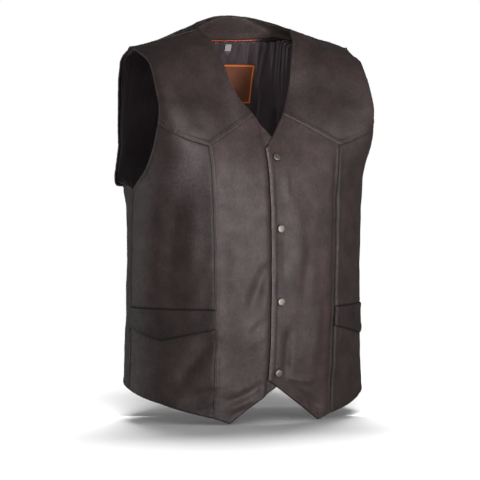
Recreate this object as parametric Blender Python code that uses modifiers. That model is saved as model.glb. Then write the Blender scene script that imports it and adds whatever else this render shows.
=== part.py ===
"""Leather biker vest, hollow as worn: sewn panels, lining, neck facing, piping, label and closed snaps.

Metres, +Z up. The wearer faces -Y and the wearer's left is +X. The origin lies on the middle
plane at shoulder height.
"""
import bmesh
import bpy
import numpy as np
from mathutils import Vector

COLLECTION = "biker_vest"

# Walls and the gaps between pieces
LEATHER = 0.0018
FACING = 0.0014
LINING = 0.0010
LABEL = 0.0008
SEAM_GAP = 0.0003
LAYER_GAP = 0.0008
LAP_GAP = 0.0009
LAP_FLAT = 0.020        # the lapped front lies full depth under the other to this far from the middle
LAP_END = 0.050         # and is back at its own place here

# Level sections from hem to shoulder ridge. Each runs as a cubic curve from its inner end, on the
# middle line or neckline, to its edge, on the side seam or armhole. reach is the first handle's share
# of the width, tuck the second handle's stand-in from the edge, and the bows are the handles' depths.
SECTION = ("level", "inner_x", "inner_y", "inner_z", "edge_x", "edge_y", "edge_z",
           "inner_reach", "edge_tuck", "inner_bow", "edge_bow")
FRONT_SECTIONS = (
    (-.700, .0000, -.1160, -.6500, .2085, .0060, -.650, .66, .00, -.1160, -.068),
    (-.610, .0000, -.1245, -.5600, .2065, .0060, -.560, .66, .00, -.1245, -.068),
    (-.540, .0000, -.1350, -.4900, .2045, .0060, -.490, .66, .00, -.1350, -.062),
    (-.460, .0000, -.1390, -.4100, .2030, .0060, -.410, .66, .00, -.1390, -.064),
    (-.370, .0000, -.1395, -.3200, .2020, .0050, -.320, .66, .00, -.1395, -.072),
    (-.295, .0000, -.1350, -.2450, .2025, .0000, -.232, .66, .00, -.1350, -.082),
    (-.255, .0000, -.1285, -.2000, .1985, -.0414, -.201, .68, .10, -.1290, -.108),
    (-.205, .0000, -.1077, -.1474, .1963, -.0775, -.150, .70, .10, -.1120, -.128),
    (-.165, .0290, -.0880, -.1070, .1943, -.0893, -.106, .66, .09, -.1060, -.118),
    (-.130, .0475, -.0672, -.0744, .1935, -.0785, -.077, .62, .09, -.0880, -.108),
    (-.082, .0612, -.0502, -.0285, .1928, -.0466, -.0277, .58, .08, -.0640, -.070),
    (-.040, .0727, -.0321, .0078, .1924, -.0126, -.0125, .54, .05, -.0360, -.026),
    (.0000, .0820, .0000, .0295, .1980, .0200, -.001, .50, .00, .0060, .016),
)
BACK_SECTIONS = (
    (-.700, .0000, .1320, -.6500, .2085, .0060, -.650, .64, .00, .1320, .092),
    (-.610, .0000, .1300, -.5600, .2065, .0060, -.560, .64, .00, .1300, .092),
    (-.540, .0000, .1280, -.4900, .2045, .0060, -.490, .64, .00, .1280, .088),
    (-.460, .0000, .1280, -.4100, .2030, .0060, -.410, .64, .00, .1280, .080),
    (-.370, .0000, .1310, -.3200, .2020, .0050, -.320, .64, .00, .1310, .078),
    (-.295, .0000, .1320, -.2350, .2025, .0000, -.232, .66, .00, .1320, .086),
    (-.255, .0000, .1285, -.1650, .2030, .0560, -.216, .66, .08, .1285, .116),
    (-.205, .0000, .1180, -.0880, .2010, .0640, -.160, .66, .09, .1180, .114),
    (-.165, .0000, .1040, -.0300, .2008, .0645, -.112, .64, .09, .1040, .108),
    (-.130, .0000, .0860, .0100, .2012, .0635, -.078, .60, .08, .0860, .094),
    (-.082, .0000, .0620, .0538, .2025, .0575, -.044, .56, .06, .0620, .076),
    (-.040, .0640, .0460, .0425, .2025, .0460, -.019, .52, .03, .0520, .056),
    (.0000, .0820, .0000, .0295, .1980, .0200, -.001, .50, .00, .0060, .016),
)
UNDERARM = -.295        # level where the armhole meets the side seam
VEE = -.205             # level where the neckline meets the middle of the front
NAPE = -.082            # level where the neckline meets the middle of the back
LEVEL_DROP = .050       # a body level is this much below its height
RIDGE_ROUND = .012      # the walls share one direction this near the shoulder ridge
FIRST_GUESS = .3        # width of a whole share where the search for a point starts
DAMPING = .7

# Largest folds: a trough (or ridge, if the depth is positive) along a line on the front or back
FOLD = ("x_top", "z_top", "x_bottom", "z_bottom", "width", "depth")
FRONT_FOLDS = (
    (-.170, -.290, -.173, -.400, .014, -.0040),
    (-.118, -.478, -.168, -.556, .014, -.0030),
    (-.055, -.330, -.050, -.470, .022, .0022),
    (.094, -.215, .092, -.560, .011, -.0026),
    (.160, -.300, .168, -.400, .014, -.0028),
    (.060, -.430, .054, -.560, .020, .0020),
)
BACK_FOLDS = (
    (-.085, -.250, -.095, -.520, .026, -.0030),
    (.090, -.250, .100, -.520, .026, -.0030),
    (.000, -.330, .000, -.540, .030, .0026),
)

# Seams and edges of the fronts
PLACKET = 0.015         # reach of a front past the middle line
LAP_SLOPE = 1.17        # fall of the neck edge beyond the middle line
PRINCESS = ("z", "x")
PRINCESS_SEAM = ((-.602, .1050), (-.250, .1116), (-.160, .1170))
YOKE_NECK_X = .0271     # the yoke seam leaves the neckline here
YOKE_ARMHOLE = -.183    # and reaches the armhole at this level
HEM_MIDDLE_Z = -.5536
HEM_TIP_X, HEM_TIP_Z = .080, -.611
HEM = ("share", "z")
HEM_SIDE = ((0, -.602), (.5, -.5785), (1, -.561))
HEM_BACK = ((0, -.545), (.75, -.550), (1, -.561))
MOUTH_Z = -.4255        # pocket mouth
WELT_END, WELT_POINT = .032, .050

# Cells of the fronts and back
LAP_CELLS, NECK_CELLS, FRONT_CELLS, TIP_CELLS = 1, 2, 4, 2
SIDE_CELLS = 11
HEM_ROWS, WELT_ROWS, CHEST_ROWS, ARMHOLE_ROWS, YOKE_ROWS = 5, 2, 9, 5, 8
YOKE_CROWDING = 1.25    # the yoke's rows crowd towards the shoulder ridge
BACK_CELLS = 11
TAG_POINTS = 5
BACK_HEM_ROWS, BACK_ARM_ROWS, COLLAR_ROWS, SHOULDER_ROWS = 12, 8, 4, 6

# Inside of the neck: the facing's lower edge, from below the nape to the shoulder, opposite the neckline
FACING_EDGE = ("neck_level", "share", "level")
FACING_EDGES = (
    (-.082, .000, -.1276),
    (-.060, .125, -.1080),
    (-.040, .262, -.0800),
    (-.020, .255, -.0340),
    (.0000, .220, .0000),
)
FACING_END, LINING_START = .94, 1.07   # shares of the way from the neckline to the piping
PIPING_RADIUS = .0012
FACING_CELLS, FACING_ROWS = 10, 4
LABEL_X, LABEL_Z = (-.018, .062), (-.094, -.026)
TAB_X, TAB_Z = (.003, .014), (-.007, .007)

# Snaps
SNAP_HEIGHTS = (-.1796, -.2954, -.4142, -.5310)
SNAP = ("radius", "height")
SNAP_PROFILE = (
    (.0000, .0000),
    (.0063, .0000),
    (.0063, .0008),
    (.0057, .0014),
    (.0045, .0026),
    (.0025, .0034),
    (.0000, .0036),
)
SNAP_STEPS = 20
MERGE = .0001

# Colours as sRGB, roughness, metallic
FINISH = {
    "leather": ((.24, .21, .20), .48, 0),
    "facing_leather": ((.23, .20, .19), .50, 0),
    "satin": ((.05, .045, .05), .38, 0),
    "piping_satin": ((.80, .30, .16), .45, 0),
    "label_cloth": ((.16, .12, .11), .70, 0),
    "tab_cloth": ((.86, .85, .82), .75, 0),
    "dark_nickel": ((.28, .26, .25), .32, 1),
}


def table(rows, names):
    """Rows of a table as one array for each named column."""
    return {name: np.array([row[k] for row in rows], float) for k, name in enumerate(names)}


FRONT = {"rows": table(FRONT_SECTIONS, SECTION), "neck": VEE, "outward": 1, "folds": table(FRONT_FOLDS, FOLD)}
BACK = {"rows": table(BACK_SECTIONS, SECTION), "neck": NAPE, "outward": -1, "folds": table(BACK_FOLDS, FOLD)}


def spline(knots, values, at):
    """Cubic Hermite curve through values at knots, with slopes from the neighbours."""
    slope = np.gradient(values, knots)
    at = np.clip(at, knots[0], knots[-1])
    i = np.clip(np.searchsorted(knots, at) - 1, 0, len(knots) - 2)
    step = knots[i + 1] - knots[i]
    s = (at - knots[i]) / step
    start = (1 + 2 * s) * (1 - s) ** 2 * values[i] + s * (1 - s) ** 2 * step * slope[i]
    end = s * s * (3 - 2 * s) * values[i + 1] + s * s * (s - 1) * step * slope[i + 1]
    return start + end


def column(sheet, name, level):
    """A column at any level, with a corner where the neckline or the armhole ends."""
    rows = sheet["rows"]
    corner = UNDERARM if name.startswith("edge") else sheet["neck"]
    low = rows["level"] <= corner
    high = rows["level"] >= corner
    below = spline(rows["level"][low], rows[name][low], level)
    above = spline(rows["level"][high], rows[name][high], level)
    return np.where(level < corner, below, above)


def point(sheet, share, level):
    """Unfolded surface at a share from the inner end to the edge; a share below 0 is past the middle line."""
    share, level = np.broadcast_arrays(np.asarray(share, float), np.asarray(level, float))
    c = {name: column(sheet, name, level) for name in SECTION[1:]}
    s = np.abs(share)
    b0, b1, b2, b3 = (1 - s) ** 3, 3 * s * (1 - s) ** 2, 3 * s * s * (1 - s), s ** 3
    run = c["inner_reach"] * b1 + (1 - c["edge_tuck"]) * b2 + b3
    x = c["inner_x"] + (c["edge_x"] - c["inner_x"]) * run
    y = c["inner_y"] * b0 + c["inner_bow"] * b1 + c["edge_bow"] * b2 + c["edge_y"] * b3
    z = c["inner_z"] + (c["edge_z"] - c["inner_z"]) * run
    return np.stack([np.where(share < 0, -x, x), y, z], -1)


def unit(vectors):
    return vectors / np.linalg.norm(vectors, axis=-1, keepdims=True)


def own_normal(sheet, share, level, step=1e-4):
    """Outward normal from differences along the section and up the surface."""
    along = point(sheet, share + step, level) - point(sheet, share - step, level)
    rise = point(sheet, share, level + step) - point(sheet, share, level - step)
    return sheet["outward"] * unit(np.cross(along, rise))


def normal(sheet, share, level):
    """Outward normal, blended with the other sheet's at the shoulder ridge so that the walls meet."""
    share, level = np.broadcast_arrays(np.asarray(share, float), np.asarray(level, float))
    other = BACK if sheet is FRONT else FRONT
    blend = np.clip(1 + level / RIDGE_ROUND, 0, 1)[..., None]
    return unit(own_normal(sheet, share, level) + blend * own_normal(other, share, level))


def fold_depth(sheet, x, z):
    """Sum of the folds: each falls off as a bell with the distance from its line."""
    depth = np.zeros_like(x)
    folds = sheet["folds"]
    for x0, z0, x1, z1, width, height in zip(*(folds[name] for name in FOLD)):
        dx, dz = x1 - x0, z1 - z0
        s = np.clip(((x - x0) * dx + (z - z0) * dz) / (dx * dx + dz * dz), 0, 1)
        depth += height * np.exp(-((x - x0 - s * dx) ** 2 + (z - z0 - s * dz) ** 2) / width ** 2)
    return depth


def place(sheet, side, share, level, lift):
    """Points of the folded surface on one side of the body, moved out by lift."""
    p = point(sheet, share, level)
    depth = fold_depth(sheet, side * p[..., 0], p[..., 2])
    if sheet is FRONT and side < 0:
        fade = np.clip((LAP_END - p[..., 0]) / (LAP_END - LAP_FLAT), 0, 1)
        depth = depth - (LEATHER + LAP_GAP) * fade * fade * (3 - 2 * fade)
    p = p + (depth + lift)[..., None] * normal(sheet, share, level)
    return p * np.array([side, 1, 1])


def locate(sheet, x, z):
    """Share and level of the point at lateral x and height z, by damped Newton steps."""
    x, z = np.broadcast_arrays(np.asarray(x, float), np.asarray(z, float))
    share = x / FIRST_GUESS
    level = z - LEVEL_DROP
    step = 1e-5
    for _ in range(40):
        p = point(sheet, share, level)
        along = (point(sheet, share + step, level) - p) / step
        rise = (point(sheet, share, level + step) - p) / step
        off_x, off_z = x - p[..., 0], z - p[..., 2]
        det = along[..., 0] * rise[..., 2] - rise[..., 0] * along[..., 2]
        share = share + DAMPING * (off_x * rise[..., 2] - off_z * rise[..., 0]) / det
        level = level + DAMPING * (along[..., 0] * off_z - along[..., 2] * off_x) / det
    return share, level


def stops(values, cells):
    """Values stepped evenly between stops, with a number of cells for each stretch."""
    parts = [np.linspace(a, b, n + 1)[:-1] for a, b, n in zip(values[:-1], values[1:], cells)]
    return np.concatenate(parts + [[values[-1]]])


def ladder(knots, cells):
    """Rows stepped evenly between knot rows, which are arrays over the columns."""
    columns = np.stack(np.broadcast_arrays(*knots), -1)
    return np.stack([stops(column_knots, cells) for column_knots in columns], -1)


def read(rows, names, at):
    """Second column of a short table at any value of the first."""
    return np.interp(at, *(table(rows, names)[name] for name in names))


def princess_share(level):
    """Share where a section crosses the princess seam."""
    low, high = np.zeros_like(level), np.ones_like(level)
    for _ in range(40):
        middle = (low + high) / 2
        p = point(FRONT, middle, level)
        past = p[..., 0] > read(PRINCESS_SEAM, PRINCESS, p[..., 2])
        high = np.where(past, middle, high)
        low = np.where(past, low, middle)
    return (low + high) / 2


def yoke_point():
    """Share and level of the yoke seam's lower point, on the princess seam."""
    z, x = PRINCESS_SEAM[-1]
    return locate(FRONT, x, z)


def side_grid():
    """Shares and levels of a side front: rows from hem to yoke seam, columns from princess to side seam."""
    across = np.linspace(0, 1, SIDE_CELLS + 1)
    mouth = MOUTH_Z - LEVEL_DROP
    hem = read(HEM_SIDE, HEM, across) - LEVEL_DROP
    welt = mouth - np.interp(across, (0, .5, 1), (WELT_END, WELT_POINT, WELT_END))
    yoke = np.interp(across, (0, 1), (yoke_point()[1], YOKE_ARMHOLE))
    arm = mouth + (yoke - mouth) * (UNDERARM - mouth) / (YOKE_ARMHOLE - mouth)
    level = ladder((hem, welt, mouth, arm, yoke), (HEM_ROWS, WELT_ROWS, CHEST_ROWS, ARMHOLE_ROWS))
    start = princess_share(level)
    return start + (1 - start) * across, level


def neck_height(x):
    """Height of the neck edge at lateral x, from the middle line to the yoke seam."""
    level = np.linspace(VEE, 0, 400)
    edge = point(FRONT, 0, level)
    return np.interp(x, edge[:, 0], edge[:, 2])


def centre_grid(side_share, side_level):
    """Shares and levels of a centre front, its rows meeting those of the side front at the princess seam."""
    seam_z = point(FRONT, side_share[:, 0], side_level[:, 0])[:, 2]
    seam_x = read(PRINCESS_SEAM, PRINCESS, seam_z)
    climb = (seam_z - seam_z[0]) / (seam_z[-1] - seam_z[0])
    fixed = stops((-PLACKET, 0, YOKE_NECK_X, HEM_TIP_X), (LAP_CELLS, NECK_CELLS, FRONT_CELLS))
    past_tip = np.linspace(0, 1, TIP_CELLS + 1)[1:]
    swept = HEM_TIP_X + (seam_x[:, None] - HEM_TIP_X) * past_tip
    x = np.concatenate([np.tile(fixed, (len(climb), 1)), swept], 1)
    bottom = np.interp(x[0], (0, HEM_TIP_X, seam_x[0]), (HEM_MIDDLE_Z, HEM_TIP_Z, seam_z[0]))
    lap = np.minimum(x[0], 0)
    bottom = bottom + lap * (HEM_TIP_Z - HEM_MIDDLE_Z) / HEM_TIP_X
    neck = neck_height(np.clip(x[-1], 0, YOKE_NECK_X)) + lap * LAP_SLOPE
    top = np.interp(x[-1], (YOKE_NECK_X, seam_x[-1]), (neck_height(YOKE_NECK_X), seam_z[-1]))
    top = np.where(x[-1] < YOKE_NECK_X, neck, top)
    return locate(FRONT, x, bottom + (top - bottom) * climb[:, None])


def front_grids():
    """Grids of the centre front, side front and yoke of one side, as share and level arrays."""
    side = side_grid()
    centre = centre_grid(*side)
    first = LAP_CELLS + NECK_CELLS
    foot = [np.concatenate([c[-1, first:], s[-1, 1:]]) for c, s in zip(centre, side)]
    climb = 1 - (1 - np.linspace(0, 1, YOKE_ROWS + 1)[:, None]) ** YOKE_CROWDING
    share = np.tile(foot[0], (YOKE_ROWS + 1, 1))
    return centre, side, (share, foot[1] * (1 - climb))


def pull_in(grid, halved):
    """Moves a grid's border half a seam gap towards its inside, but not where two halves join."""
    for axis in (0, 1):
        g = np.swapaxes(grid, 0, axis)
        if axis == 0 or not halved:
            g[0] += unit(g[1] - g[0]) * SEAM_GAP / 2
        g[-1] += unit(g[-2] - g[-1]) * SEAM_GAP / 2
    return grid


def make_material(name, finish):
    colour, roughness, metallic = FINISH[finish]
    linear = [((c + .055) / 1.055) ** 2.4 if c > .04045 else c / 12.92 for c in colour]
    material = bpy.data.materials.new(name + "_" + finish)
    material.use_nodes = True
    shader = material.node_tree.nodes["Principled BSDF"]
    shader.inputs["Base Color"].default_value = (*linear, 1)
    shader.inputs["Roughness"].default_value = roughness
    shader.inputs["Metallic"].default_value = metallic
    material.diffuse_color = (*linear, 1)
    return material


def add_object(name, data, finish):
    data.materials.append(make_material(name, finish))
    obj = bpy.data.objects.new(name, data)
    bpy.data.collections[COLLECTION].objects.link(obj)
    return obj


def wall(name, patches, finish):
    """Closed wall from patches, each an outer grid, an inner grid and a mask of the cells it keeps."""
    outer, inner, cells = [], [], []
    count = 0
    for out_grid, in_grid, keep in patches:
        rows, columns = out_grid.shape[:2]
        index = count + np.arange(rows * columns).reshape(rows, columns)
        quads = np.stack([index[:-1, :-1], index[:-1, 1:], index[1:, 1:], index[1:, :-1]], -1)
        cells.append(quads[keep])
        outer.append(out_grid.reshape(-1, 3))
        inner.append(in_grid.reshape(-1, 3))
        count += rows * columns
    outer, inner, quads = np.concatenate(outer), np.concatenate(inner), np.concatenate(cells)
    used, quads = np.unique(quads, return_inverse=True)
    _, first, same = np.unique(np.round(outer[used], 6) + 0.0, axis=0, return_index=True, return_inverse=True)
    quads = same.reshape(-1)[quads].reshape(-1, 4)
    count = len(first)
    edges = np.stack([quads, np.roll(quads, -1, 1)], -1).reshape(-1, 2)
    _, place_of, times = np.unique(np.sort(edges, 1), axis=0, return_inverse=True, return_counts=True)
    rim = edges[times[place_of.reshape(-1)] == 1]
    rim_quads = np.stack([rim[:, 1], rim[:, 0], rim[:, 0] + count, rim[:, 1] + count], -1)
    faces = np.concatenate([quads, quads[:, (0, 3, 2, 1)] + count, rim_quads])
    vertices = np.concatenate([outer[used][first], inner[used][first]])
    mesh = bpy.data.meshes.new(name)
    mesh.from_pydata(vertices.tolist(), [], faces.tolist())
    solid = bmesh.new()
    solid.from_mesh(mesh)
    bmesh.ops.recalc_face_normals(solid, faces=solid.faces)
    solid.to_mesh(mesh)
    solid.free()
    return add_object(name, mesh, finish)


def patch(sheet, side, share, level, lift, thickness, keep=None, halved=False):
    """Outer and inner grid of one wall patch, with the cells it keeps."""
    grids = [pull_in(place(sheet, side, share, level, lift - depth), halved) for depth in (0, thickness)]
    if keep is None:
        keep = np.ones((share.shape[0] - 1, share.shape[1] - 1), bool)
    return grids[0], grids[1], keep


def panel(name, side, grid, rows=slice(None), lift=0.0):
    """One leather panel of a front, from the rows it takes of a grid."""
    share, level = grid[0][rows], grid[1][rows]
    return wall(name, [patch(FRONT, side, share, level, lift, LEATHER)], "leather")


def halved_wall(name, share, level, lift, thickness, finish, keep=None):
    """Wall on the back from a grid of one half and its mirror image."""
    halves = [patch(BACK, side, share, level, lift, thickness, keep, halved=True) for side in (1, -1)]
    return wall(name, halves, finish)


def fronts():
    """Panels, welts and lining of both fronts."""
    centre, side, yoke = front_grids()
    mouth = HEM_ROWS + WELT_ROWS
    arm = mouth + CHEST_ROWS
    for word, sign in (("left", 1), ("right", -1)):
        panel("front_centre_" + word, sign, centre)
        panel("front_side_" + word, sign, side, slice(mouth, None))
        panel("pocket_front_" + word, sign, side, slice(0, mouth + 1))
        panel("pocket_welt_" + word, sign, side, slice(HEM_ROWS, mouth + 1), LEATHER + SEAM_GAP)
        panel("yoke_" + word, sign, yoke)
        first = LAP_CELLS + NECK_CELLS
        share, level = (np.concatenate([np.concatenate([c[:, first:], s[:, 1:]], 1), y[1:]])
                        for c, s, y in zip(centre, side, yoke))
        keep = np.ones((share.shape[0] - 1, share.shape[1] - 1), bool)
        keep[0] = False
        keep[:, 0] = False
        keep[arm - 1:, -1] = False
        lining = patch(FRONT, sign, share, level, -LEATHER - LAYER_GAP, LINING, keep)
        wall("lining_" + word, [lining], "satin")


def back_grid():
    """Shares and levels of half the back: rows from hem to ridge, columns from middle to side seam."""
    share = np.linspace(0, 1, BACK_CELLS + 1)
    hem = read(HEM_BACK, HEM, share) - LEVEL_DROP
    collar = neck_band(np.array(NAPE), LINING_START)[1]
    cells = (BACK_HEM_ROWS, BACK_ARM_ROWS, COLLAR_ROWS, SHOULDER_ROWS)
    level = ladder((hem, UNDERARM, collar, NAPE, 0 * share), cells)
    return np.tile(share, (len(level), 1)), level


def back():
    halved_wall("back", *back_grid(), 0.0, LEATHER, "leather")


def neck_band(neck_level, across):
    """Share and level part of the way across the facing, from the neckline 0 to the piping 1."""
    edge = table(FACING_EDGES, FACING_EDGE)
    share = spline(edge["neck_level"], edge["share"], neck_level)
    level = spline(edge["neck_level"], edge["level"], neck_level)
    return share * across, neck_level + (level - neck_level) * across


def neck_inside():
    """Facing, piping and back lining, which meet along the piping."""
    neck = np.linspace(NAPE, 0, FACING_CELLS + 1)
    across = np.linspace(0, FACING_END, FACING_ROWS + 1)
    share, level = neck_band(neck[None, :], across[:, None])
    halved_wall("neck_facing", share, level, -LEATHER - LAYER_GAP, FACING, "facing_leather")

    share, level = neck_band(neck[:-1], 1)
    half_path = place(BACK, 1, share, level, -LEATHER - LAYER_GAP - PIPING_RADIUS)
    path = np.concatenate([half_path[:0:-1] * (-1, 1, 1), half_path])
    curve = bpy.data.curves.new("neck_piping", "CURVE")
    curve.dimensions = "3D"
    curve.bevel_depth = PIPING_RADIUS
    curve.bevel_resolution = 1
    curve.use_fill_caps = True
    line = curve.splines.new("POLY")
    line.points.add(len(path) - 1)
    line.points.foreach_set("co", np.c_[path, np.ones(len(path))].ravel())
    add_object("neck_piping", curve, "piping_satin")

    share, level = back_grid()
    edge_share, edge_level = neck_band(np.linspace(NAPE, 0, 60), LINING_START)
    start = np.interp(level, edge_level, edge_share, left=0)
    keep = (share[1:, 1:] > start[1:, 1:]) | (share[:-1, 1:] > start[:-1, 1:])
    keep[0] = False
    keep[BACK_HEM_ROWS - 1:, -1] = False
    share = np.maximum(share, start)
    halved_wall("lining_back", share, level, -LEATHER - LAYER_GAP, LINING, "satin", keep)


def back_tag(name, x_range, z_range, finish):
    """Small cloth patch on the inside of the back lining."""
    x, z = np.meshgrid(np.linspace(*x_range, TAG_POINTS), np.linspace(*z_range, TAG_POINTS))
    share, level = locate(BACK, x, z)
    lift = -LEATHER - LAYER_GAP - LINING - LAYER_GAP
    wall(name, [patch(BACK, 1, share, level, lift, LABEL)], finish)


def snaps():
    """Closed snap caps: turned domes on the middle line of the left front."""
    for number, height in enumerate(SNAP_HEIGHTS, 1):
        name = "snap_%d" % number
        mesh = bpy.data.meshes.new(name)
        turned_line = table(SNAP_PROFILE, SNAP)
        profile = [(radius, 0, rise) for radius, rise in zip(turned_line["radius"], turned_line["height"])]
        mesh.from_pydata(profile, [(k, k + 1) for k in range(len(profile) - 1)], [])
        snap = add_object(name, mesh, "dark_nickel")
        turned = snap.modifiers.new("turned", "SCREW")
        turned.steps = SNAP_STEPS
        turned.render_steps = SNAP_STEPS
        turned.use_merge_vertices = True
        turned.merge_threshold = MERGE
        turned.use_normal_calculate = True
        share, level = locate(FRONT, 0.0, height)
        snap.location = place(FRONT, 1, share, level, np.asarray(SEAM_GAP)).ravel()
        outward = Vector(normal(FRONT, share, level).ravel())
        snap.rotation_euler = outward.to_track_quat("Z", "Y").to_euler()


def main():
    for obj in list(bpy.data.objects):
        bpy.data.objects.remove(obj)
    bpy.context.scene.collection.children.link(bpy.data.collections.new(COLLECTION))
    fronts()
    back()
    neck_inside()
    back_tag("label", LABEL_X, LABEL_Z, "label_cloth")
    back_tag("size_tab", TAB_X, TAB_Z, "tab_cloth")
    snaps()


main()
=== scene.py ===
"""Looks of a leather biker vest around its solids: sewn panels, stitching, lining, neck trim and snaps.

Metres, +Z up. The wearer faces -Y and the wearer's left is +X. A point of the cloth is given by its
share of the way from the middle line or neckline to the side seam or armhole, and by its level from
hem to shoulder ridge.
"""
import math

import bpy
import numpy as np
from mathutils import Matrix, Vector


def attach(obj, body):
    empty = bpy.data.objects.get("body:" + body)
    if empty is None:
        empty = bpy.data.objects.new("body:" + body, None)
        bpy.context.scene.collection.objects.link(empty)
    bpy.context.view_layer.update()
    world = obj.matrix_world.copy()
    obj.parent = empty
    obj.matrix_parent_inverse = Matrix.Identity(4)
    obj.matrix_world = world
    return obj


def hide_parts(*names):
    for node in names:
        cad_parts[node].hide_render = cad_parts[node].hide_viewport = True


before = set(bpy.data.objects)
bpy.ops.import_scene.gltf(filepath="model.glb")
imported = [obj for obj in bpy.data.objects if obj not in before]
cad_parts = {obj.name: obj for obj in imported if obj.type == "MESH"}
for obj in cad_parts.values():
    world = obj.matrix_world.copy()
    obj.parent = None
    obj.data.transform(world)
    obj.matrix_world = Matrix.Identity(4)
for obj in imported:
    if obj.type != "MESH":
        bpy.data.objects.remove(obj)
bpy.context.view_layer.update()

# Walls and the gaps between pieces
LEATHER = .0018
FACING = .0014
LINING = .0010
LABEL = .0008
SEAM_GAP = .0003
LAYER_GAP = .0008
LAP_GAP = .0009
LAP_FLAT, LAP_END = .020, .090
LAP_WAVES = ((-.0026, .0160, .0040),      # the hollow beside the lapped edge and the roll beyond it:
             (.0020, .0260, .0090))       # height, place and width

# Level sections from hem to shoulder ridge, as the solids have them
SECTION = ("level", "inner_x", "inner_y", "inner_z", "edge_x", "edge_y", "edge_z",
           "inner_reach", "edge_tuck", "inner_bow", "edge_bow")
FRONT_SECTIONS = (
    (-.700, .0000, -.1160, -.6500, .2085, .0060, -.650, .66, .00, -.1160, -.068),
    (-.610, .0000, -.1245, -.5600, .2065, .0060, -.560, .66, .00, -.1245, -.068),
    (-.540, .0000, -.1350, -.4900, .2045, .0060, -.490, .66, .00, -.1350, -.062),
    (-.460, .0000, -.1390, -.4100, .2030, .0060, -.410, .66, .00, -.1390, -.064),
    (-.370, .0000, -.1395, -.3200, .2020, .0050, -.320, .66, .00, -.1395, -.072),
    (-.295, .0000, -.1350, -.2450, .2025, .0000, -.232, .66, .00, -.1350, -.082),
    (-.255, .0000, -.1285, -.2000, .1985, -.0414, -.201, .68, .10, -.1290, -.108),
    (-.205, .0000, -.1077, -.1474, .1963, -.0775, -.150, .70, .10, -.1120, -.128),
    (-.165, .0290, -.0880, -.1070, .1943, -.0893, -.106, .66, .09, -.1060, -.118),
    (-.130, .0475, -.0672, -.0744, .1935, -.0785, -.077, .62, .09, -.0880, -.108),
    (-.082, .0612, -.0502, -.0285, .1928, -.0466, -.0277, .58, .08, -.0640, -.070),
    (-.040, .0727, -.0321, .0078, .1924, -.0126, -.0125, .54, .05, -.0360, -.026),
    (.0000, .0820, .0000, .0295, .1980, .0200, -.001, .50, .00, .0060, .016),
)
BACK_SECTIONS = (
    (-.700, .0000, .1320, -.6500, .2085, .0060, -.650, .64, .00, .1320, .092),
    (-.610, .0000, .1300, -.5600, .2065, .0060, -.560, .64, .00, .1300, .092),
    (-.540, .0000, .1280, -.4900, .2045, .0060, -.490, .64, .00, .1280, .088),
    (-.460, .0000, .1280, -.4100, .2030, .0060, -.410, .64, .00, .1280, .080),
    (-.370, .0000, .1310, -.3200, .2020, .0050, -.320, .64, .00, .1310, .078),
    (-.295, .0000, .1320, -.2350, .2025, .0000, -.232, .66, .00, .1320, .086),
    (-.255, .0000, .1285, -.1650, .2030, .0560, -.216, .66, .08, .1285, .116),
    (-.205, .0000, .1180, -.0880, .2010, .0640, -.160, .66, .09, .1180, .114),
    (-.165, .0000, .1040, -.0300, .2008, .0645, -.112, .64, .09, .1040, .108),
    (-.130, .0000, .0860, .0100, .2012, .0635, -.078, .60, .08, .0860, .094),
    (-.082, .0000, .0620, .0538, .2025, .0575, -.044, .56, .06, .0620, .076),
    (-.040, .0640, .0460, .0425, .2025, .0460, -.019, .52, .03, .0520, .056),
    (.0000, .0820, .0000, .0295, .1980, .0200, -.001, .50, .00, .0060, .016),
)
UNDERARM, VEE, NAPE = -.295, -.205, -.082
LEVEL_DROP = .050
RIDGE_ROUND = .012
MIDDLE_ROUND, MIDDLE_ROUND_END, MIDDLE_ROUND_FALL = .07, -.05, .03      # rounds the upper back's middle line
LOOSE = ((1.00, -.252, .22, .022, .006, .011),      # the back stands out and sags round each underarm:
         (.77, -.295, .14, .016, .005, .000))       # share, level, their widths, way out, way down

# Searches on the surface: first guess, share of each step taken, steps, halvings, points of the neck edge
FIRST_GUESS, DAMPING, LOCATE_STEPS, HALVINGS = .3, .7, 40, 26
NECK_POINTS = 400

# Largest folds, as in the solids: lines from an upper x and z to a lower x and z, with width and height
FRONT_FOLDS = (
    (-.170, -.290, -.173, -.400, .014, -.0040),
    (-.118, -.478, -.168, -.556, .014, -.0030),
    (-.055, -.330, -.050, -.470, .022, .0022),
    (.094, -.215, .092, -.560, .011, -.0026),
    (.160, -.300, .168, -.400, .014, -.0028),
    (.060, -.430, .054, -.560, .020, .0020),
)
BACK_FOLDS = (
    (-.085, -.250, -.095, -.520, .026, -.0030),
    (.090, -.250, .100, -.520, .026, -.0030),
    (.000, -.330, .000, -.540, .030, .0026),
)

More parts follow.
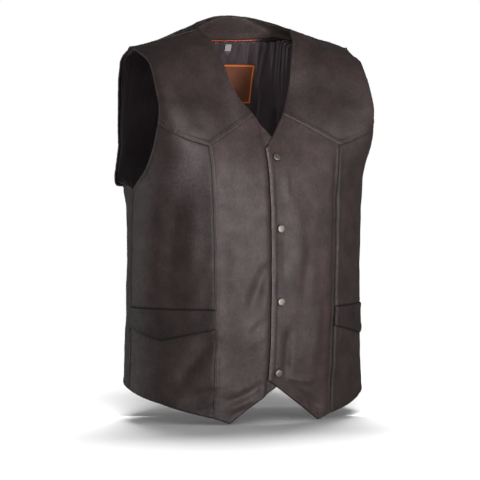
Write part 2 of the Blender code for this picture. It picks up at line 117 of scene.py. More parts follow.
# Smaller creases: lines from an upper x and z to a lower x and z, with bow, width and height
FRONT_CREASES = (
    (-.0150, -.345, -.0560, -.4350, .004, .0120, -.0034),
    (-.1560, -.215, -.1660, -.4500, .004, .0160, -.0044),
    (-.1135, -.190, -.1070, -.5750, .000, .0130, .0022),
    (.0930, -.190, .0915, -.5800, .000, .0120, .0022),
    (.1115, -.185, .1030, -.5950, .000, .0095, -.0040),
    (.1170, -.185, .1085, -.5950, .000, .0050, .0030),
    (-.0180, -.440, -.0520, -.4700, .002, .0080, -.0012),
    (-.0250, -.548, -.0840, -.5760, -.003, .0072, -.0026),
    (-.0360, -.573, -.0820, -.5890, .002, .0060, .0017),
    (-.0440, -.588, -.0760, -.5990, .002, .0048, -.0013),
    (-.1060, -.470, -.1560, -.5400, .004, .0130, -.0030),
    (-.1040, -.556, -.1520, -.5760, .003, .0080, -.0026),
    (-.1060, -.572, -.1300, -.5860, .001, .0060, .0022),
    (-.1120, -.330, -.1320, -.4150, .004, .0090, .0012),
    (-.1840, -.240, -.1420, -.3000, .006, .0110, -.0018),
    (-.0300, -.200, -.0360, -.3300, .003, .0160, .0012),
    (-.0850, -.200, -.0780, -.2900, -.004, .0120, -.0010),
    (-.1400, -.060, -.1250, -.1350, .006, .0130, -.0016),
    (-.0850, -.030, -.0750, -.1050, .003, .0120, .0010),
    (.0060, -.303, .0060, -.3720, .001, .0100, -.0022),
    (.0150, -.462, .0130, -.5380, .001, .0085, -.0034),
    (.0145, -.203, .0150, -.2480, .001, .0060, .0018),
    (.0200, -.540, .0700, -.5460, .001, .0050, .0024),
    (.0300, -.556, .0860, -.5920, .002, .0070, -.0024),
    (.0520, -.580, .0820, -.6000, .002, .0050, .0016),
    (.0280, -.240, .0340, -.3700, -.003, .0120, .0012),
    (.0540, -.330, .0440, -.4300, .003, .0100, -.0012),
    (.0720, -.420, .0600, -.5200, -.003, .0090, .0014),
    (.1840, -.240, .1480, -.3100, -.006, .0110, -.0018),
    (.1250, -.490, .1650, -.5500, .004, .0100, -.0022),
    (.1450, -.070, .1200, -.1400, -.005, .0130, -.0014),
)
BACK_CREASES = (
    (-.1975, -.213, -.1820, -.2500, .002, .0032, -.0020),
    (-.1900, -.215, -.1700, -.2620, .002, .0040, -.0018),
    (-.1790, -.220, -.1500, -.2750, .003, .0055, -.0016),
    (.1970, -.213, .1800, -.2540, -.002, .0034, -.0019),
    (.1880, -.216, .1660, -.2600, -.002, .0042, -.0018),
    (.1760, -.222, .1450, -.2800, -.003, .0058, -.0016),
    (-.1550, -.320, -.0520, -.3960, .008, .0100, -.0032),
    (-.1300, -.350, -.0700, -.4120, .006, .0075, .0020),
    (.1640, -.300, .0600, -.3640, -.008, .0110, -.0030),
    (.1300, -.352, .0850, -.3960, -.005, .0080, .0018),
    (-.0300, -.090, -.0460, -.2500, .006, .0170, -.0026),
    (.0400, -.110, .0280, -.2900, -.006, .0180, .0022),
    (.0800, -.080, .0860, -.2100, .004, .0150, -.0022),
    (-.0980, -.075, -.1120, -.1900, -.004, .0150, .0018),
    (-.1250, -.494, -.0250, -.5280, .004, .0085, -.0032),
    (-.0950, -.520, -.0400, -.5380, .003, .0060, .0018),
    (.0450, -.500, .1400, -.5320, -.003, .0085, -.0028),
    (-.0100, -.432, .0760, -.4800, .006, .0100, -.0022),
    (.1500, -.400, .1180, -.4900, -.005, .0110, -.0024),
    (-.1560, -.420, -.1320, -.4960, .005, .0100, -.0022),
)
CREASE_OVERRUN, CREASE_FADE = .15, .4           # how a crease runs out at both ends, in its lengths
CREASE_SHOULDER, CREASE_SPREAD = .55, 1.5       # the soft shoulders beside its trough
UNEVEN_WAVES = 18           # gentle waves of the hide, from shortest to longest
UNEVEN_LENGTHS = (.022, .075)
UNEVEN_DEPTH = .00016

# Seams and edges of the fronts and back
PLACKET, LAP_SLOPE = .015, 1.17
PRINCESS_SEAM = ((-.602, -.250, -.160), (.1050, .1116, .1170))      # heights, lateral places
YOKE_NECK_X, YOKE_ARMHOLE = .0271, -.183
HEM_MIDDLE_Z, HEM_TIP_X, HEM_TIP_Z = -.5536, .080, -.611
HEM_SIDE = ((0, .5, 1), (-.602, -.5785, -.561))                     # shares, heights
HEM_BACK = ((0, .75, 1), (-.545, -.550, -.561))
MOUTH_Z, WELT_END, WELT_POINT = -.4255, .032, .050

# How a border is sewn: the step over its allowance, the roll of its rim, the dip into a seam, the
# rim's bulge, the pull away from the next piece, the puckers, the rubbing with painted highlight, the painted
# shade, the stitch rows' places
SEWN = ("raised", "roll", "dip", "bulge", "pull", "pucker", "rub", "shade", "rows")
BORDERS = {kind: dict(zip(SEWN, row)) for kind, row in {
    "lapped": (.00065, .0010, .0000, .0004, .00015, .00017, .55, .0, (.0019, .0068)),
    "lapped_dull": (.00065, .0010, .0000, .0004, .00015, .00017, .15, .0, (.0019, .0068)),
    "lapped_lit": (.00065, .0010, .0000, .0006, .00015, .00017, .62, .0, (.0019, .0068)),
    "seamed": (.00010, .0008, .0006, .0003, .00015, .00015, .0, .5, (.0068,)),
    "under": (.00000, .0004, .0008, .0001, .00015, .00015, .0, 1., ()),
    "under_lit": (.00000, .0004, .0004, .0001, .00015, .00015, .0, .4, ()),
    "turned": (.00050, .0011, .0000, .0009, .0000, .00015, .2, .0, (.0062,)),
    "hem": (.00050, .0014, .0000, .0009, .0000, .00017, .0, .55, (.0062,)),
    "placket": (.00130, .0017, .0000, .0017, .0000, .00017, 1.3, .0, (.0066,)),
    "welt_foot": (.00080, .0013, .0000, .0006, .00015, .00013, .0, .8, (.0019, .0145)),
    "mouth": (.00030, .0014, .0006, .0007, .00080, .00010, .4, 1., ()),
    "plain": (.00000, .0004, .0000, .0001, .00015, .00000, .0, .0, ()),
    "below": (.00000, .0000, .0010, .0001, .00015, .00000, .0, 1., ()),
}.items()}
ALLOWANCE, ALLOWANCE_FALL = .0085, .0030
ROLL_REACH, DIP_REACH = .0013, .0022
STITCH_GROOVE, GROOVE_WIDTH = .00036, .0011
# reaches of the paler rubbing with painted highlight and of the painted seam shade, and the painted shade in
# each stitch row's groove
RUB_AND_HIGHLIGHT_REACH, SHADE_REACH, ROW_SHADE = .0012, .0024, .45
INSIDE_ROWS = 5             # grid rows from a border to the line that shows the way into the panel
PUCKER_REACH = .0060
PUCKER_PLACE = .7 * PUCKER_REACH
PUCKER_SWELL = (.6, .4, .031)       # steady part, swelling part and its length along the border
PUCKER_LENGTHS = (.0068, .0093, .0131, .0187)

# Places on the fronts with a painted highlight, or below zero with painted shade: x, z, width,
# height and strength
PAINTED_LIGHT_AND_SHADE = (
    (-.150, -.205, .026, .040, .42),
    (-.128, -.300, .012, .070, .20),
    (-.058, -.100, .018, .040, .26),
    (.065, -.085, .018, .040, .14),
    (.185, -.090, .028, .050, .18),
    (.1050, -.380, .0055, .230, -.60),
    (.0155, -.500, .0055, .026, -.50),
    (.0060, -.330, .0060, .026, -.35),
    (-.155, -.330, .010, .070, -.30),
    (-.064, -.190, .038, .042, .10),
    (.050, -.190, .034, .042, .06),
    (-.058, -.305, .030, .036, -.26),
    (-.060, -.475, .030, .036, -.18),
    (-.147, -.083, .022, .028, -.40),
)

# Round each snap cap: a painted shade ring and a low ring, each with strength, radius and width; the ring's
# waves, with strength, number and shift; and the dent below, with depth and radius
SNAP_SHADE = (.9, .0073, .0011)
SNAP_SWELL = (.00035, .0088, .0018)
SNAP_WAVES = (.6, 5, 40)
SNAP_DENT = (.0004, .0068)

# Grid steps, the closer steps next to a border, and about how wide and long each panel is
FRONT_STEP, BACK_STEP, LINING_STEP = .0028, .0036, .0045
CLOSE_STEPS = np.array((0, .0005, .0011, .0018, .0027, .0038, .0052, .0069, .0090))
EVEN_CLEAR = .3
CENTRE_RISE, WELT_RISE, YOKE_RISE = .44, .041, .17
SIDE_WIDTH, YOKE_WIDTH, BACK_WIDTH = .125, .1, .25
SIDE_RISES, POCKET_RISES, BACK_RISES = (0, .18, .29), (0, .115, .155), (0, .33, .62, .70)
SEAM_COLUMN = .110          # a centre front's last column mark, which stands for the princess seam
RIM_LOOPS = 3

# Thread: stitches, and the rings of one stitch by place, size and rise
STITCH_PITCH, STITCH_LENGTH, THREAD = .0033, .0026, .00030
FIRST_STITCH, STITCH_SKEW, THREAD_SIDES = .3, .00010, 5
RING_PLACES = np.array((0, .14, .5, .86, 1))
RING_SIZES = np.array((.45, .95, 1, .95, .45))
RING_RISES = np.array((-.55, .25, .55, .25, -.55))
ROW_CLEAR, OTHER_CLEAR, PAST_EDGE = .93, .0012, 1.02        # where a stitch row has to stop
SHORTEST_RUN = 3

# Inside of the neck
FACING_EDGES = ((-.082, -.074, -.066, -.050, -.040, -.034, -.028, -.022, -.014, .0),      # neck levels
                (.000, .0491, .0945, .1880, .2330, .2580, .2800, .2930, .2960, .296),     # piping's shares
                (-.1276, -.1230, -.1154, -.0992, -.0915, -.0862, -.0815, -.0740, -.050, .0))    # and levels
FACING_END, LINING_START = .95, 1.05
FACING_WIDTH, FACING_POINTS = .045, 60
FACING_ROW, FACING_GROOVE = .0068, (.0004, .0012)       # stitch row's place, its groove's depth and width
FACING_SWELL = (.0006, .041, .004)                      # height, place and width of the roll over the piping
# painted shade along the facing's stitch row, and the paler rubbing at its edge
FACING_SHADE, FACING_RUB = (.6, .0014), .002
FACING_THREAD, FACING_BULGE = .0003, .0005
PIPING_RADIUS, PIPING_END, PIPING_POINTS, PIPING_SIDES = .0009, -.001, 90, 12
CORD_END_SHADE = (.048, .060)       # lateral places between which the cord's far end darkens with painted shade
LABEL_X, LABEL_Z = (-.018, .062), (-.094, -.026)
TAB_X, TAB_Z = (.0034, .0141), (-.0037, .007)
LABEL_GRID, LABEL_CURL, LABEL_LINE = (81, 69), .0006, (.0014, .0038)
TAB_GRID, TAB_CURL = (15, 19), .0008
TAGS = ((LABEL_X, LABEL_Z, .0035), (TAB_X, TAB_Z, .002))        # the lining lies flat there, and a bit beside
TAG_WAVE, TAG_LINE_SOFT, TAG_BULGE = (.3, 5, 3), .0006, .0002
TURN_IN = 1 - 1 / 11        # the lining stops here beside an armhole
TURN_IN_PLACE, TURN_IN_FALL = UNDERARM - .004, .012
LINING_RUN, LINING_ROWS, LINING_FAN = (0, .19, .34), 105, 4
LINING_WIDTH, LINING_LENGTH, LINING_HEM, LINING_BULGE = .25, .6, .028, .0004
BACK_GATHERS = ((.0042, 1, 5, .0120), (.0008, .45, 6, .0300))      # depth, place up the back, seed, spacing
FRONT_GATHERS = (.0012, -.3, 9, .028)                              # depth, height, seed, spacing
GATHER_START, GATHER_STEPS, GATHER_WIDTHS = (.2, .8), (.55, 1.6), (.20, .38)        # in spacings
GATHER_HEIGHTS, GATHER_LEANS, GATHER_REACHES, GATHER_SPREAD = (.45, 1), (-.07, .07), (.05, .22), 3
FRONT_LINING_X, FRONT_LINING_RISES, FRONT_LINING_ROWS = .0404, (.03, .155, .335, .445), 40

# Snaps
SNAP_SIDES = 48
SNAP_HEIGHTS = (-.1796, -.2954, -.4142, -.5310)
SNAP_PROFILE = ((.0, .0063, .0067, .0068, .0068, .0067, .0065, .0061, .0054, .0044, .0033, .0022, .0011, .0),
                (-.0006, -.0006, -.0003, .0004, .0010, .0014, .0017, .0020, .00218, .00231, .00239, .00244,
                 .00247, .0025))


def sections(rows):
    """Columns of the level sections by name."""
    return dict(zip(SECTION, np.array(rows).T))


FRONT = {"rows": sections(FRONT_SECTIONS), "neck": VEE, "outward": 1, "seed": 3,
         "folds": np.array(FRONT_FOLDS), "creases": np.array(FRONT_CREASES)}
BACK = {"rows": sections(BACK_SECTIONS), "neck": NAPE, "outward": -1, "seed": 8,
        "folds": np.array(BACK_FOLDS), "creases": np.array(BACK_CREASES)}


def dot(a, b):
    return (a * b).sum(-1)


def unit(vectors):
    return vectors / np.maximum(np.linalg.norm(vectors, axis=-1, keepdims=True), 1e-12)


def smooth(t):
    """0 below 0, 1 above 1, and an S curve between."""
    t = np.clip(t, 0, 1)
    return t * t * (3 - 2 * t)


def bell(distance, width):
    """1 at no distance, falling away on both sides within about a width."""
    return np.exp(-(distance / width) ** 2)


def run_along(points):
    """Length along a line of points, up to each of them."""
    return np.concatenate([[0], np.cumsum(np.linalg.norm(np.diff(points, axis=0), axis=1))])


def at_run(places, run, points):
    """Points, or directions, at places along a line."""
    return np.stack([np.interp(places, run, c) for c in points.T], -1)


def turns(count):
    """Angles that divide a full turn."""
    return 2 * math.pi * np.arange(count) / count


def circle(turn, across, up):
    """Directions round a ring that starts across and goes up."""
    return np.cos(turn)[:, None] * across + np.sin(turn)[:, None] * up


def numbered(grid):
    """Numbers of a grid's points."""
    return np.arange(grid[..., 0].size).reshape(grid.shape[:-1])


def ring_quads(index):
    """Quads between neighbouring closed rings of point numbers."""
    a, b = index[..., :-1, :], index[..., 1:, :]
    return np.stack([a, np.roll(a, -1, -1), np.roll(b, -1, -1), b], -1).reshape(-1, 4)


def spline(knots, values, at, level_start=False):
    """Cubic Hermite curve through values at knots, with slopes from the neighbours or a level start."""
    knots, values = np.asarray(knots, float), np.asarray(values, float)
    slope = np.gradient(values, knots)
    if level_start:
        slope[0] = 0
    at = np.clip(at, knots[0], knots[-1])
    i = np.clip(np.searchsorted(knots, at) - 1, 0, len(knots) - 2)
    step = knots[i + 1] - knots[i]
    s = (at - knots[i]) / step
    start = (1 + 2 * s) * (1 - s) ** 2 * values[i] + s * (1 - s) ** 2 * step * slope[i]
    end = s * s * (3 - 2 * s) * values[i + 1] + s * s * (s - 1) * step * slope[i + 1]
    return start + end


def column(sheet, name, level):
    """A column of the sections at any level, with a corner where the neckline or armhole ends."""
    rows = sheet["rows"]
    corner = UNDERARM if name.startswith("edge") else sheet["neck"]
    low, high = rows["level"] <= corner, rows["level"] >= corner
    flat = sheet is BACK and name in ("inner_y", "inner_z")
    below = spline(rows["level"][low], rows[name][low], level)
    above = spline(rows["level"][high], rows[name][high], level, flat)
    return np.where(level < corner, below, above)


def point(sheet, share, level):
    """Smooth surface: each level is a cubic curve from inner end to edge, mirrored past the middle line."""
    share, level = np.broadcast_arrays(np.asarray(share, float), np.asarray(level, float))
    c = {name: column(sheet, name, level) for name in SECTION[1:]}
    s = np.abs(share)
    b0, b1, b2, b3 = (1 - s) ** 3, 3 * s * (1 - s) ** 2, 3 * s * s * (1 - s), s ** 3
    run = c["inner_reach"] * b1 + (1 - c["edge_tuck"]) * b2 + b3
    x = c["inner_x"] + (c["edge_x"] - c["inner_x"]) * run
    y = c["inner_y"] * b0 + c["inner_bow"] * b1 + c["edge_bow"] * b2 + c["edge_y"] * b3
    if sheet is BACK:
        soft = MIDDLE_ROUND * smooth((MIDDLE_ROUND_END - level) / MIDDLE_ROUND_FALL) + 1e-6
        run = (np.hypot(run, soft) - soft) / (np.hypot(1, soft) - soft)
    z = c["inner_z"] + (c["edge_z"] - c["inner_z"]) * run
    if sheet is BACK:
        for middle, height, wide, tall, out, down in LOOSE:
            loose = np.exp(-((s - middle) / wide) ** 2 - ((level - height) / tall) ** 2)
            x, z = x + out * loose, z - down * loose
    return np.stack([np.where(share < 0, -x, x), y, z], -1)


def tangents(sheet, share, level, step=1e-4):
    """Steps of the surface for a whole share and a whole level, from differences."""
    along = point(sheet, share + step, level) - point(sheet, share - step, level)
    rise = point(sheet, share, level + step) - point(sheet, share, level - step)
    return along / (2 * step), rise / (2 * step)


def normal(sheet, share, level):
    """Outward normal, blended with the other sheet's at the shoulder ridge so that the walls meet."""
    share, level = np.broadcast_arrays(np.asarray(share, float), np.asarray(level, float))
    own, other = (s["outward"] * unit(np.cross(*tangents(s, share, level)))
                  for s in (sheet, BACK if sheet is FRONT else FRONT))
    return unit(own + np.clip(1 + level / RIDGE_ROUND, 0, 1)[..., None] * other)


def uneven(sheet, x, z):
    """Gentle waves of the hide: sines in seeded directions, deeper as they get longer."""
    draw = np.random.default_rng(sheet["seed"])
    total = np.zeros_like(x)
    for length in np.geomspace(*UNEVEN_LENGTHS, UNEVEN_WAVES):
        angle, phase = draw.uniform(0, 2 * math.pi, 2)
        across = x * math.cos(angle) + z * math.sin(angle)
        total += length / UNEVEN_LENGTHS[1] * np.sin(2 * math.pi * across / length + phase)
    return UNEVEN_DEPTH * total


def relief(sheet, x, z):
    """Folds as bells across straight lines; creases as troughs with soft shoulders across bowed lines."""
    depth = uneven(sheet, x, z)
    for x0, z0, x1, z1, width, height in sheet["folds"]:
        dx, dz = x1 - x0, z1 - z0
        s = np.clip(((x - x0) * dx + (z - z0) * dz) / (dx * dx + dz * dz), 0, 1)
        depth = depth + height * np.exp(-((x - x0 - s * dx) ** 2 + (z - z0 - s * dz) ** 2) / width ** 2)
    for x0, z0, x1, z1, bow, width, height in sheet["creases"]:
        dx, dz = x1 - x0, z1 - z0
        length = math.hypot(dx, dz)
        s = ((x - x0) * dx + (z - z0) * dz) / length ** 2
        q = (((x - x0) * dz - (z - z0) * dx) / length - 4 * bow * s * (1 - s)) / width
        fade = smooth((s + CREASE_OVERRUN) / CREASE_FADE) * smooth((1 + CREASE_OVERRUN - s) / CREASE_FADE)
        depth = depth + height * fade * (1 - CREASE_SHOULDER * q * q) * np.exp(-q * q / CREASE_SPREAD)
    return depth


def snap_dents(x, z):
    """Leather pressed down under each snap, with a low waved ring round it."""
    depth = np.zeros_like(x)
    swell, radius, width = SNAP_SWELL
    strength, number, shift = SNAP_WAVES
    for height in SNAP_HEIGHTS:
        r = np.hypot(x, z - height)
        waves = 1 + strength * np.cos(number * np.arctan2(z - height, x) + shift * height)
        depth = depth + swell * bell(r - radius, width) * waves - SNAP_DENT[0] * bell(r, SNAP_DENT[1])
    return depth


def place(sheet, side, share, level, lift):
    """Points of the folded surface on one side of the body, moved out by lift."""
    p = point(sheet, share, level)
    x, z = side * p[..., 0], p[..., 2]
    depth = relief(sheet, x, z)
    if sheet is FRONT:
        depth = depth + snap_dents(x, z)
        if side < 0:
            depth = depth - (LEATHER + LAP_GAP) * smooth((LAP_END - p[..., 0]) / (LAP_END - LAP_FLAT))
            for tall, middle, width in LAP_WAVES:
                depth = depth + tall * bell(p[..., 0] - middle, width)
    p = p + (depth + lift)[..., None] * normal(sheet, share, level)
    return p * np.array([side, 1, 1])


def locate(sheet, x, z):
    """Share and level of the point at lateral x and height z, by damped Newton steps."""
    x, z = np.broadcast_arrays(np.asarray(x, float), np.asarray(z, float))
    rows = sheet["rows"]
    below = rows["level"] <= sheet["neck"]
    share, level = x / FIRST_GUESS, np.interp(z, rows["inner_z"][below], rows["level"][below])
    for _ in range(LOCATE_STEPS):
        p = point(sheet, share, level)
        along, rise = tangents(sheet, share, level, 1e-5)
        off_x, off_z = x - p[..., 0], z - p[..., 2]
        det = along[..., 0] * rise[..., 2] - rise[..., 0] * along[..., 2]
        share = share + DAMPING * (off_x * rise[..., 2] - off_z * rise[..., 0]) / det
        level = level + DAMPING * (along[..., 0] * off_z - along[..., 2] * off_x) / det
    return share, level


def ruler(knots, step=FRONT_STEP, close=(0, -1)):
    """Marks through all knots, a step apart, and closer beside the knots whose place is in close."""
    knots = np.asarray(knots, float)
    even = np.concatenate([np.linspace(a, b, max(1, round((b - a) / step)) + 1)
                           for a, b in zip(knots[:-1], knots[1:])])
    marks = [knots]
    for k in close:
        marks += [knots[k] - CLOSE_STEPS, knots[k] + CLOSE_STEPS]
        even = even[np.abs(even - knots[k]) > CLOSE_STEPS[-1] + EVEN_CLEAR * step]
    marks = np.concatenate(marks + [even])
    return np.unique(np.round(marks[(marks >= knots[0]) & (marks <= knots[-1])], 6))


def rung_marks(rises, numbers, step=FRONT_STEP, close=(0, -1)):
    """Rung numbers of a ruler's marks, from the rise at each whole rung."""
    return np.interp(ruler(rises, step, close), rises, numbers)


def rungs(knots, at):
    """Rows between knot rows, at fractional rung numbers."""
    knots = np.stack(np.broadcast_arrays(*knots))
    i = np.minimum(np.asarray(at).astype(int), len(knots) - 2)
    f = (at - i)[:, None]
    return knots[i] * (1 - f) + knots[i + 1] * f


def princess_share(level):
    """Share where a section crosses the princess seam, by halving."""
    low, high = np.zeros_like(level), np.ones_like(level)
    for _ in range(HALVINGS):
        middle = (low + high) / 2
        p = point(FRONT, middle, level)
        past = p[..., 0] > np.interp(p[..., 2], *PRINCESS_SEAM)
        high, low = np.where(past, middle, high), np.where(past, low, middle)
    return (low + high) / 2


(SEAM_FOOT_Z, _, SEAM_TOP_Z), (_, _, SEAM_TOP_X) = PRINCESS_SEAM
YOKE_POINT = locate(FRONT, SEAM_TOP_X, SEAM_TOP_Z)


def side_grid(across, at):
    """Side front: rows at rungs of hem 0, welt edge 1, mouth 2, underarm 3 and yoke seam 4."""
    mouth = MOUTH_Z - LEVEL_DROP
    hem = np.interp(across, *HEM_SIDE) - LEVEL_DROP
    welt = mouth - np.interp(across, (0, .5, 1), (WELT_END, WELT_POINT, WELT_END))
    yoke = np.interp(across, (0, 1), (YOKE_POINT[1], YOKE_ARMHOLE))
    arm = mouth + (yoke - mouth) * (UNDERARM - mouth) / (YOKE_ARMHOLE - mouth)
    level = rungs((hem, welt, mouth, arm, yoke), at)
    start = princess_share(level)
    return start + (1 - start) * across, level


def neck_height(x):
    """Height of the neck edge at lateral x."""
    edge = point(FRONT, 0, np.linspace(VEE, 0, NECK_POINTS))
    return np.interp(x, edge[:, 0], edge[:, 2])


def centre_grid(marks, climb):
    """Centre front: columns from the placket by lateral place, then swept from hem tip to princess seam."""
    seam_z = SEAM_FOOT_Z + (SEAM_TOP_Z - SEAM_FOOT_Z) * climb
    seam_x = np.interp(seam_z, *PRINCESS_SEAM)
    past = np.clip((marks - HEM_TIP_X) / (SEAM_COLUMN - HEM_TIP_X), 0, 1)
    x = np.minimum(marks, HEM_TIP_X) + past * (seam_x[:, None] - HEM_TIP_X)
    lap = np.minimum(marks, 0)
    bottom = np.interp(x[0], (0, HEM_TIP_X, seam_x[0]), (HEM_MIDDLE_Z, HEM_TIP_Z, seam_z[0]))
    bottom = bottom + lap * (HEM_TIP_Z - HEM_MIDDLE_Z) / HEM_TIP_X
    neck = neck_height(np.clip(x[-1], 0, YOKE_NECK_X)) + lap * LAP_SLOPE
    top = np.interp(x[-1], (YOKE_NECK_X, seam_x[-1]), (neck_height(YOKE_NECK_X), seam_z[-1]))
    top = np.where(x[-1] < YOKE_NECK_X, neck, top)
    return locate(FRONT, x, bottom + (top - bottom) * climb[:, None])


def yoke_grid(across, climb):
    """Yoke: columns rise to the ridge from the yoke seam, 0 at the neck, 1 at its point, 2 at the armhole."""
    x = YOKE_NECK_X + (SEAM_TOP_X - YOKE_NECK_X) * np.clip(across, 0, 1)
    z = np.interp(across, (0, 1), (neck_height(YOKE_NECK_X), SEAM_TOP_Z))
    near_share, near_level = locate(FRONT, x, z)
    far = np.clip(across - 1, 0, 1)
    far_level = np.interp(far, (0, 1), (YOKE_POINT[1], YOKE_ARMHOLE))
    start = princess_share(far_level)
    share = np.where(across < 1, near_share, start + (1 - start) * far)
    level = np.where(across < 1, near_level, far_level)
    return np.tile(share, (len(climb), 1)), level * (1 - climb[:, None])


def back_half_grid(share, at):
    """Half the back: rows at rungs of hem 0, underarm 1, nape 2 and shoulder ridge 3."""
    hem = np.interp(share, *HEM_BACK) - LEVEL_DROP
    return np.tile(share, (len(at), 1)), rungs((hem, UNDERARM, NAPE, 0 * share), at)


def nearest(points, line):
    """Distance to a line of points and the run along it: the nearest corner first, then its two stretches."""
    flat = points.reshape(-1, 3)
    steps = np.diff(line, axis=0)
    lengths = np.linalg.norm(steps, axis=1)
    run = run_along(line)
    corner = np.argmin((line ** 2).sum(1) - 2 * flat @ line.T, axis=1)
    distance, along = np.full(len(flat), np.inf), np.zeros(len(flat))
    for first in (corner - 1, corner):
        first = np.clip(first, 0, len(steps) - 1)
        part = np.clip(dot(flat - line[first], steps[first]) / lengths[first] ** 2, 0, 1)
        gap = np.linalg.norm(flat - line[first] - part[:, None] * steps[first], axis=1)
        closer = gap < distance
        distance = np.where(closer, gap, distance)
        along = np.where(closer, run[first] + part * lengths[first], along)
    return distance.reshape(points.shape[:-1]), along.reshape(points.shape[:-1])


def sewn_height(sewn, distance, along, seed):
    """Height beside a sewn border: a step over the allowance, a rolled rim or a dip, a groove at each
    stitch row, and puckers as sines of uneven length and strength along the border."""
    height = sewn["raised"] * smooth((ALLOWANCE - distance) / ALLOWANCE_FALL)
    height = height - sewn["dip"] * bell(distance, DIP_REACH)
    inward = np.clip(1 - distance / ROLL_REACH, 0, 1)
    height = height - sewn["roll"] * (1 - np.sqrt(1 - inward ** 2))
    for row in sewn["rows"]:
        height = height - STITCH_GROOVE * bell(distance - row, GROOVE_WIDTH)
    draw = np.random.default_rng(seed)
    ripple = np.zeros_like(along)
    steady, swelling, swell_length = PUCKER_SWELL
    for length in PUCKER_LENGTHS:
        phase, swell = draw.uniform(0, 2 * math.pi, 2)
        strength = steady + swelling * np.sin(along / swell_length + swell)
        ripple = ripple + np.sin(2 * math.pi * along / length + phase) * strength
    return height + sewn["pucker"] * ripple * bell(distance - PUCKER_PLACE, PUCKER_REACH)


def border(grid, which, keep=slice(None)):
    """A border of a grid, or its row of that number, as two lines of shares and levels: itself and one
    further in."""
    turned = [g.T if which in ("first", "last") else g for g in grid]
    row = {"bottom": 0, "first": 0, "top": -1, "last": -1}.get(which, which)
    inside = row - INSIDE_ROWS if row else INSIDE_ROWS
    return [[g[k][keep] for g in turned] for k in (row, inside)]


def sewn_lines(sheet, side, grid, borders, base):
    """Sewn borders as lines of points on the cloth, with the points further into the panel."""
    lines = []
    for number, (kind, *which) in enumerate(borders):
        edge, inside = border(grid, *which)
        points = place(sheet, side, *edge, base)
        lines.append({"sewn": BORDERS[kind], "edge": edge, "points": points,
                      "inside": place(sheet, side, *inside, base), "seed": 11 * number + len(points)})
    return lines


def sew(lines, points):
    """Heights, paler rubbing with painted highlight, painted seam shade, bulge and pull of points beside all
    sewn borders of a panel.
    """
    height, wear, shade, bulge, pull = np.zeros((5, *points.shape[:-1]))
    least = np.full(points.shape[:-1], np.inf)
    for line in lines:
        sewn = line["sewn"]
        distance, along = nearest(points, line["points"])
        height = height + sewn_height(sewn, distance, along, line["seed"])
        # paler rims from rubbing with painted highlight, painted shade in the seam and in each stitch row's
        # groove
        wear = np.maximum(wear, bell(distance, RUB_AND_HIGHLIGHT_REACH) * sewn["rub"])
        shade = np.maximum(shade, bell(distance, SHADE_REACH) * sewn["shade"])
        for row in sewn["rows"]:
            shade = np.maximum(shade, ROW_SHADE * bell(distance - row, GROOVE_WIDTH))
        closer = distance < least
        least = np.where(closer, distance, least)
        bulge = np.where(closer, sewn["bulge"], bulge)
        pull = np.where(closer, sewn["pull"], pull)
    return height, wear, shade, bulge, pull


def front_marks(points, wear, shade):
    """Paler rubbing with painted highlight, and painted shade, of the fronts: patches of painted light and
    shade as bells, and a ring of painted shade round each snap.
    """
    x, z = points[..., 0], points[..., 2]
    for middle, level, width, height, strength in PAINTED_LIGHT_AND_SHADE:
        patch = strength * bell(x - middle, width) * bell(z - level, height)
        wear, shade = np.maximum(wear, patch), np.maximum(shade, -patch)
    strength, radius, width = SNAP_SHADE
    for level in SNAP_HEIGHTS:
        shade = np.maximum(shade, strength * bell(np.hypot(x, z - level) - radius, width))
    return wear, shade


def add_mesh(name, vertices, faces, material, values=None, uv=None, node=None):
    """Mesh object at the origin from points and blocks of faces; values are point attributes, uv a map
    from each point. It rides on the one body, and may stand for a node of the solids."""
    mesh = bpy.data.meshes.new(name)
    mesh.from_pydata(vertices.tolist(), [], [face for block in faces for face in block.tolist()])
    mesh.polygons.foreach_set("use_smooth", np.ones(len(mesh.polygons), bool))
    for key, value in (values or {}).items():
        mesh.attributes.new(key, "FLOAT", "POINT").data.foreach_set("value", np.asarray(value, np.float32))
    if uv is not None:
        corner = np.zeros(len(mesh.loops), np.int32)
        mesh.loops.foreach_get("vertex_index", corner)
        mesh.uv_layers.new(name="cut").data.foreach_set("uv", uv[corner].astype(np.float32).ravel())
    mesh.materials.append(material)
    mesh.update()
    obj = bpy.data.objects.new(name, mesh)
    bpy.context.scene.collection.objects.link(obj)
    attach(obj, "root")
    if node:
        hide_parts(node)
    return obj


def cells(index, outer, inner):
    """Quads of a grid of point numbers, turned to face from the inner to the outer points."""
    quads = np.stack([index[:-1, :-1], index[:-1, 1:], index[1:, 1:], index[1:, :-1]], -1).reshape(-1, 4)
    a, b, c, d = (outer[quads[:, k]] for k in range(4))
    facing = (np.cross(c - a, d - b) * (outer - inner)[quads[:, 0]]).sum()
    return quads if facing > 0 else quads[:, ::-1]


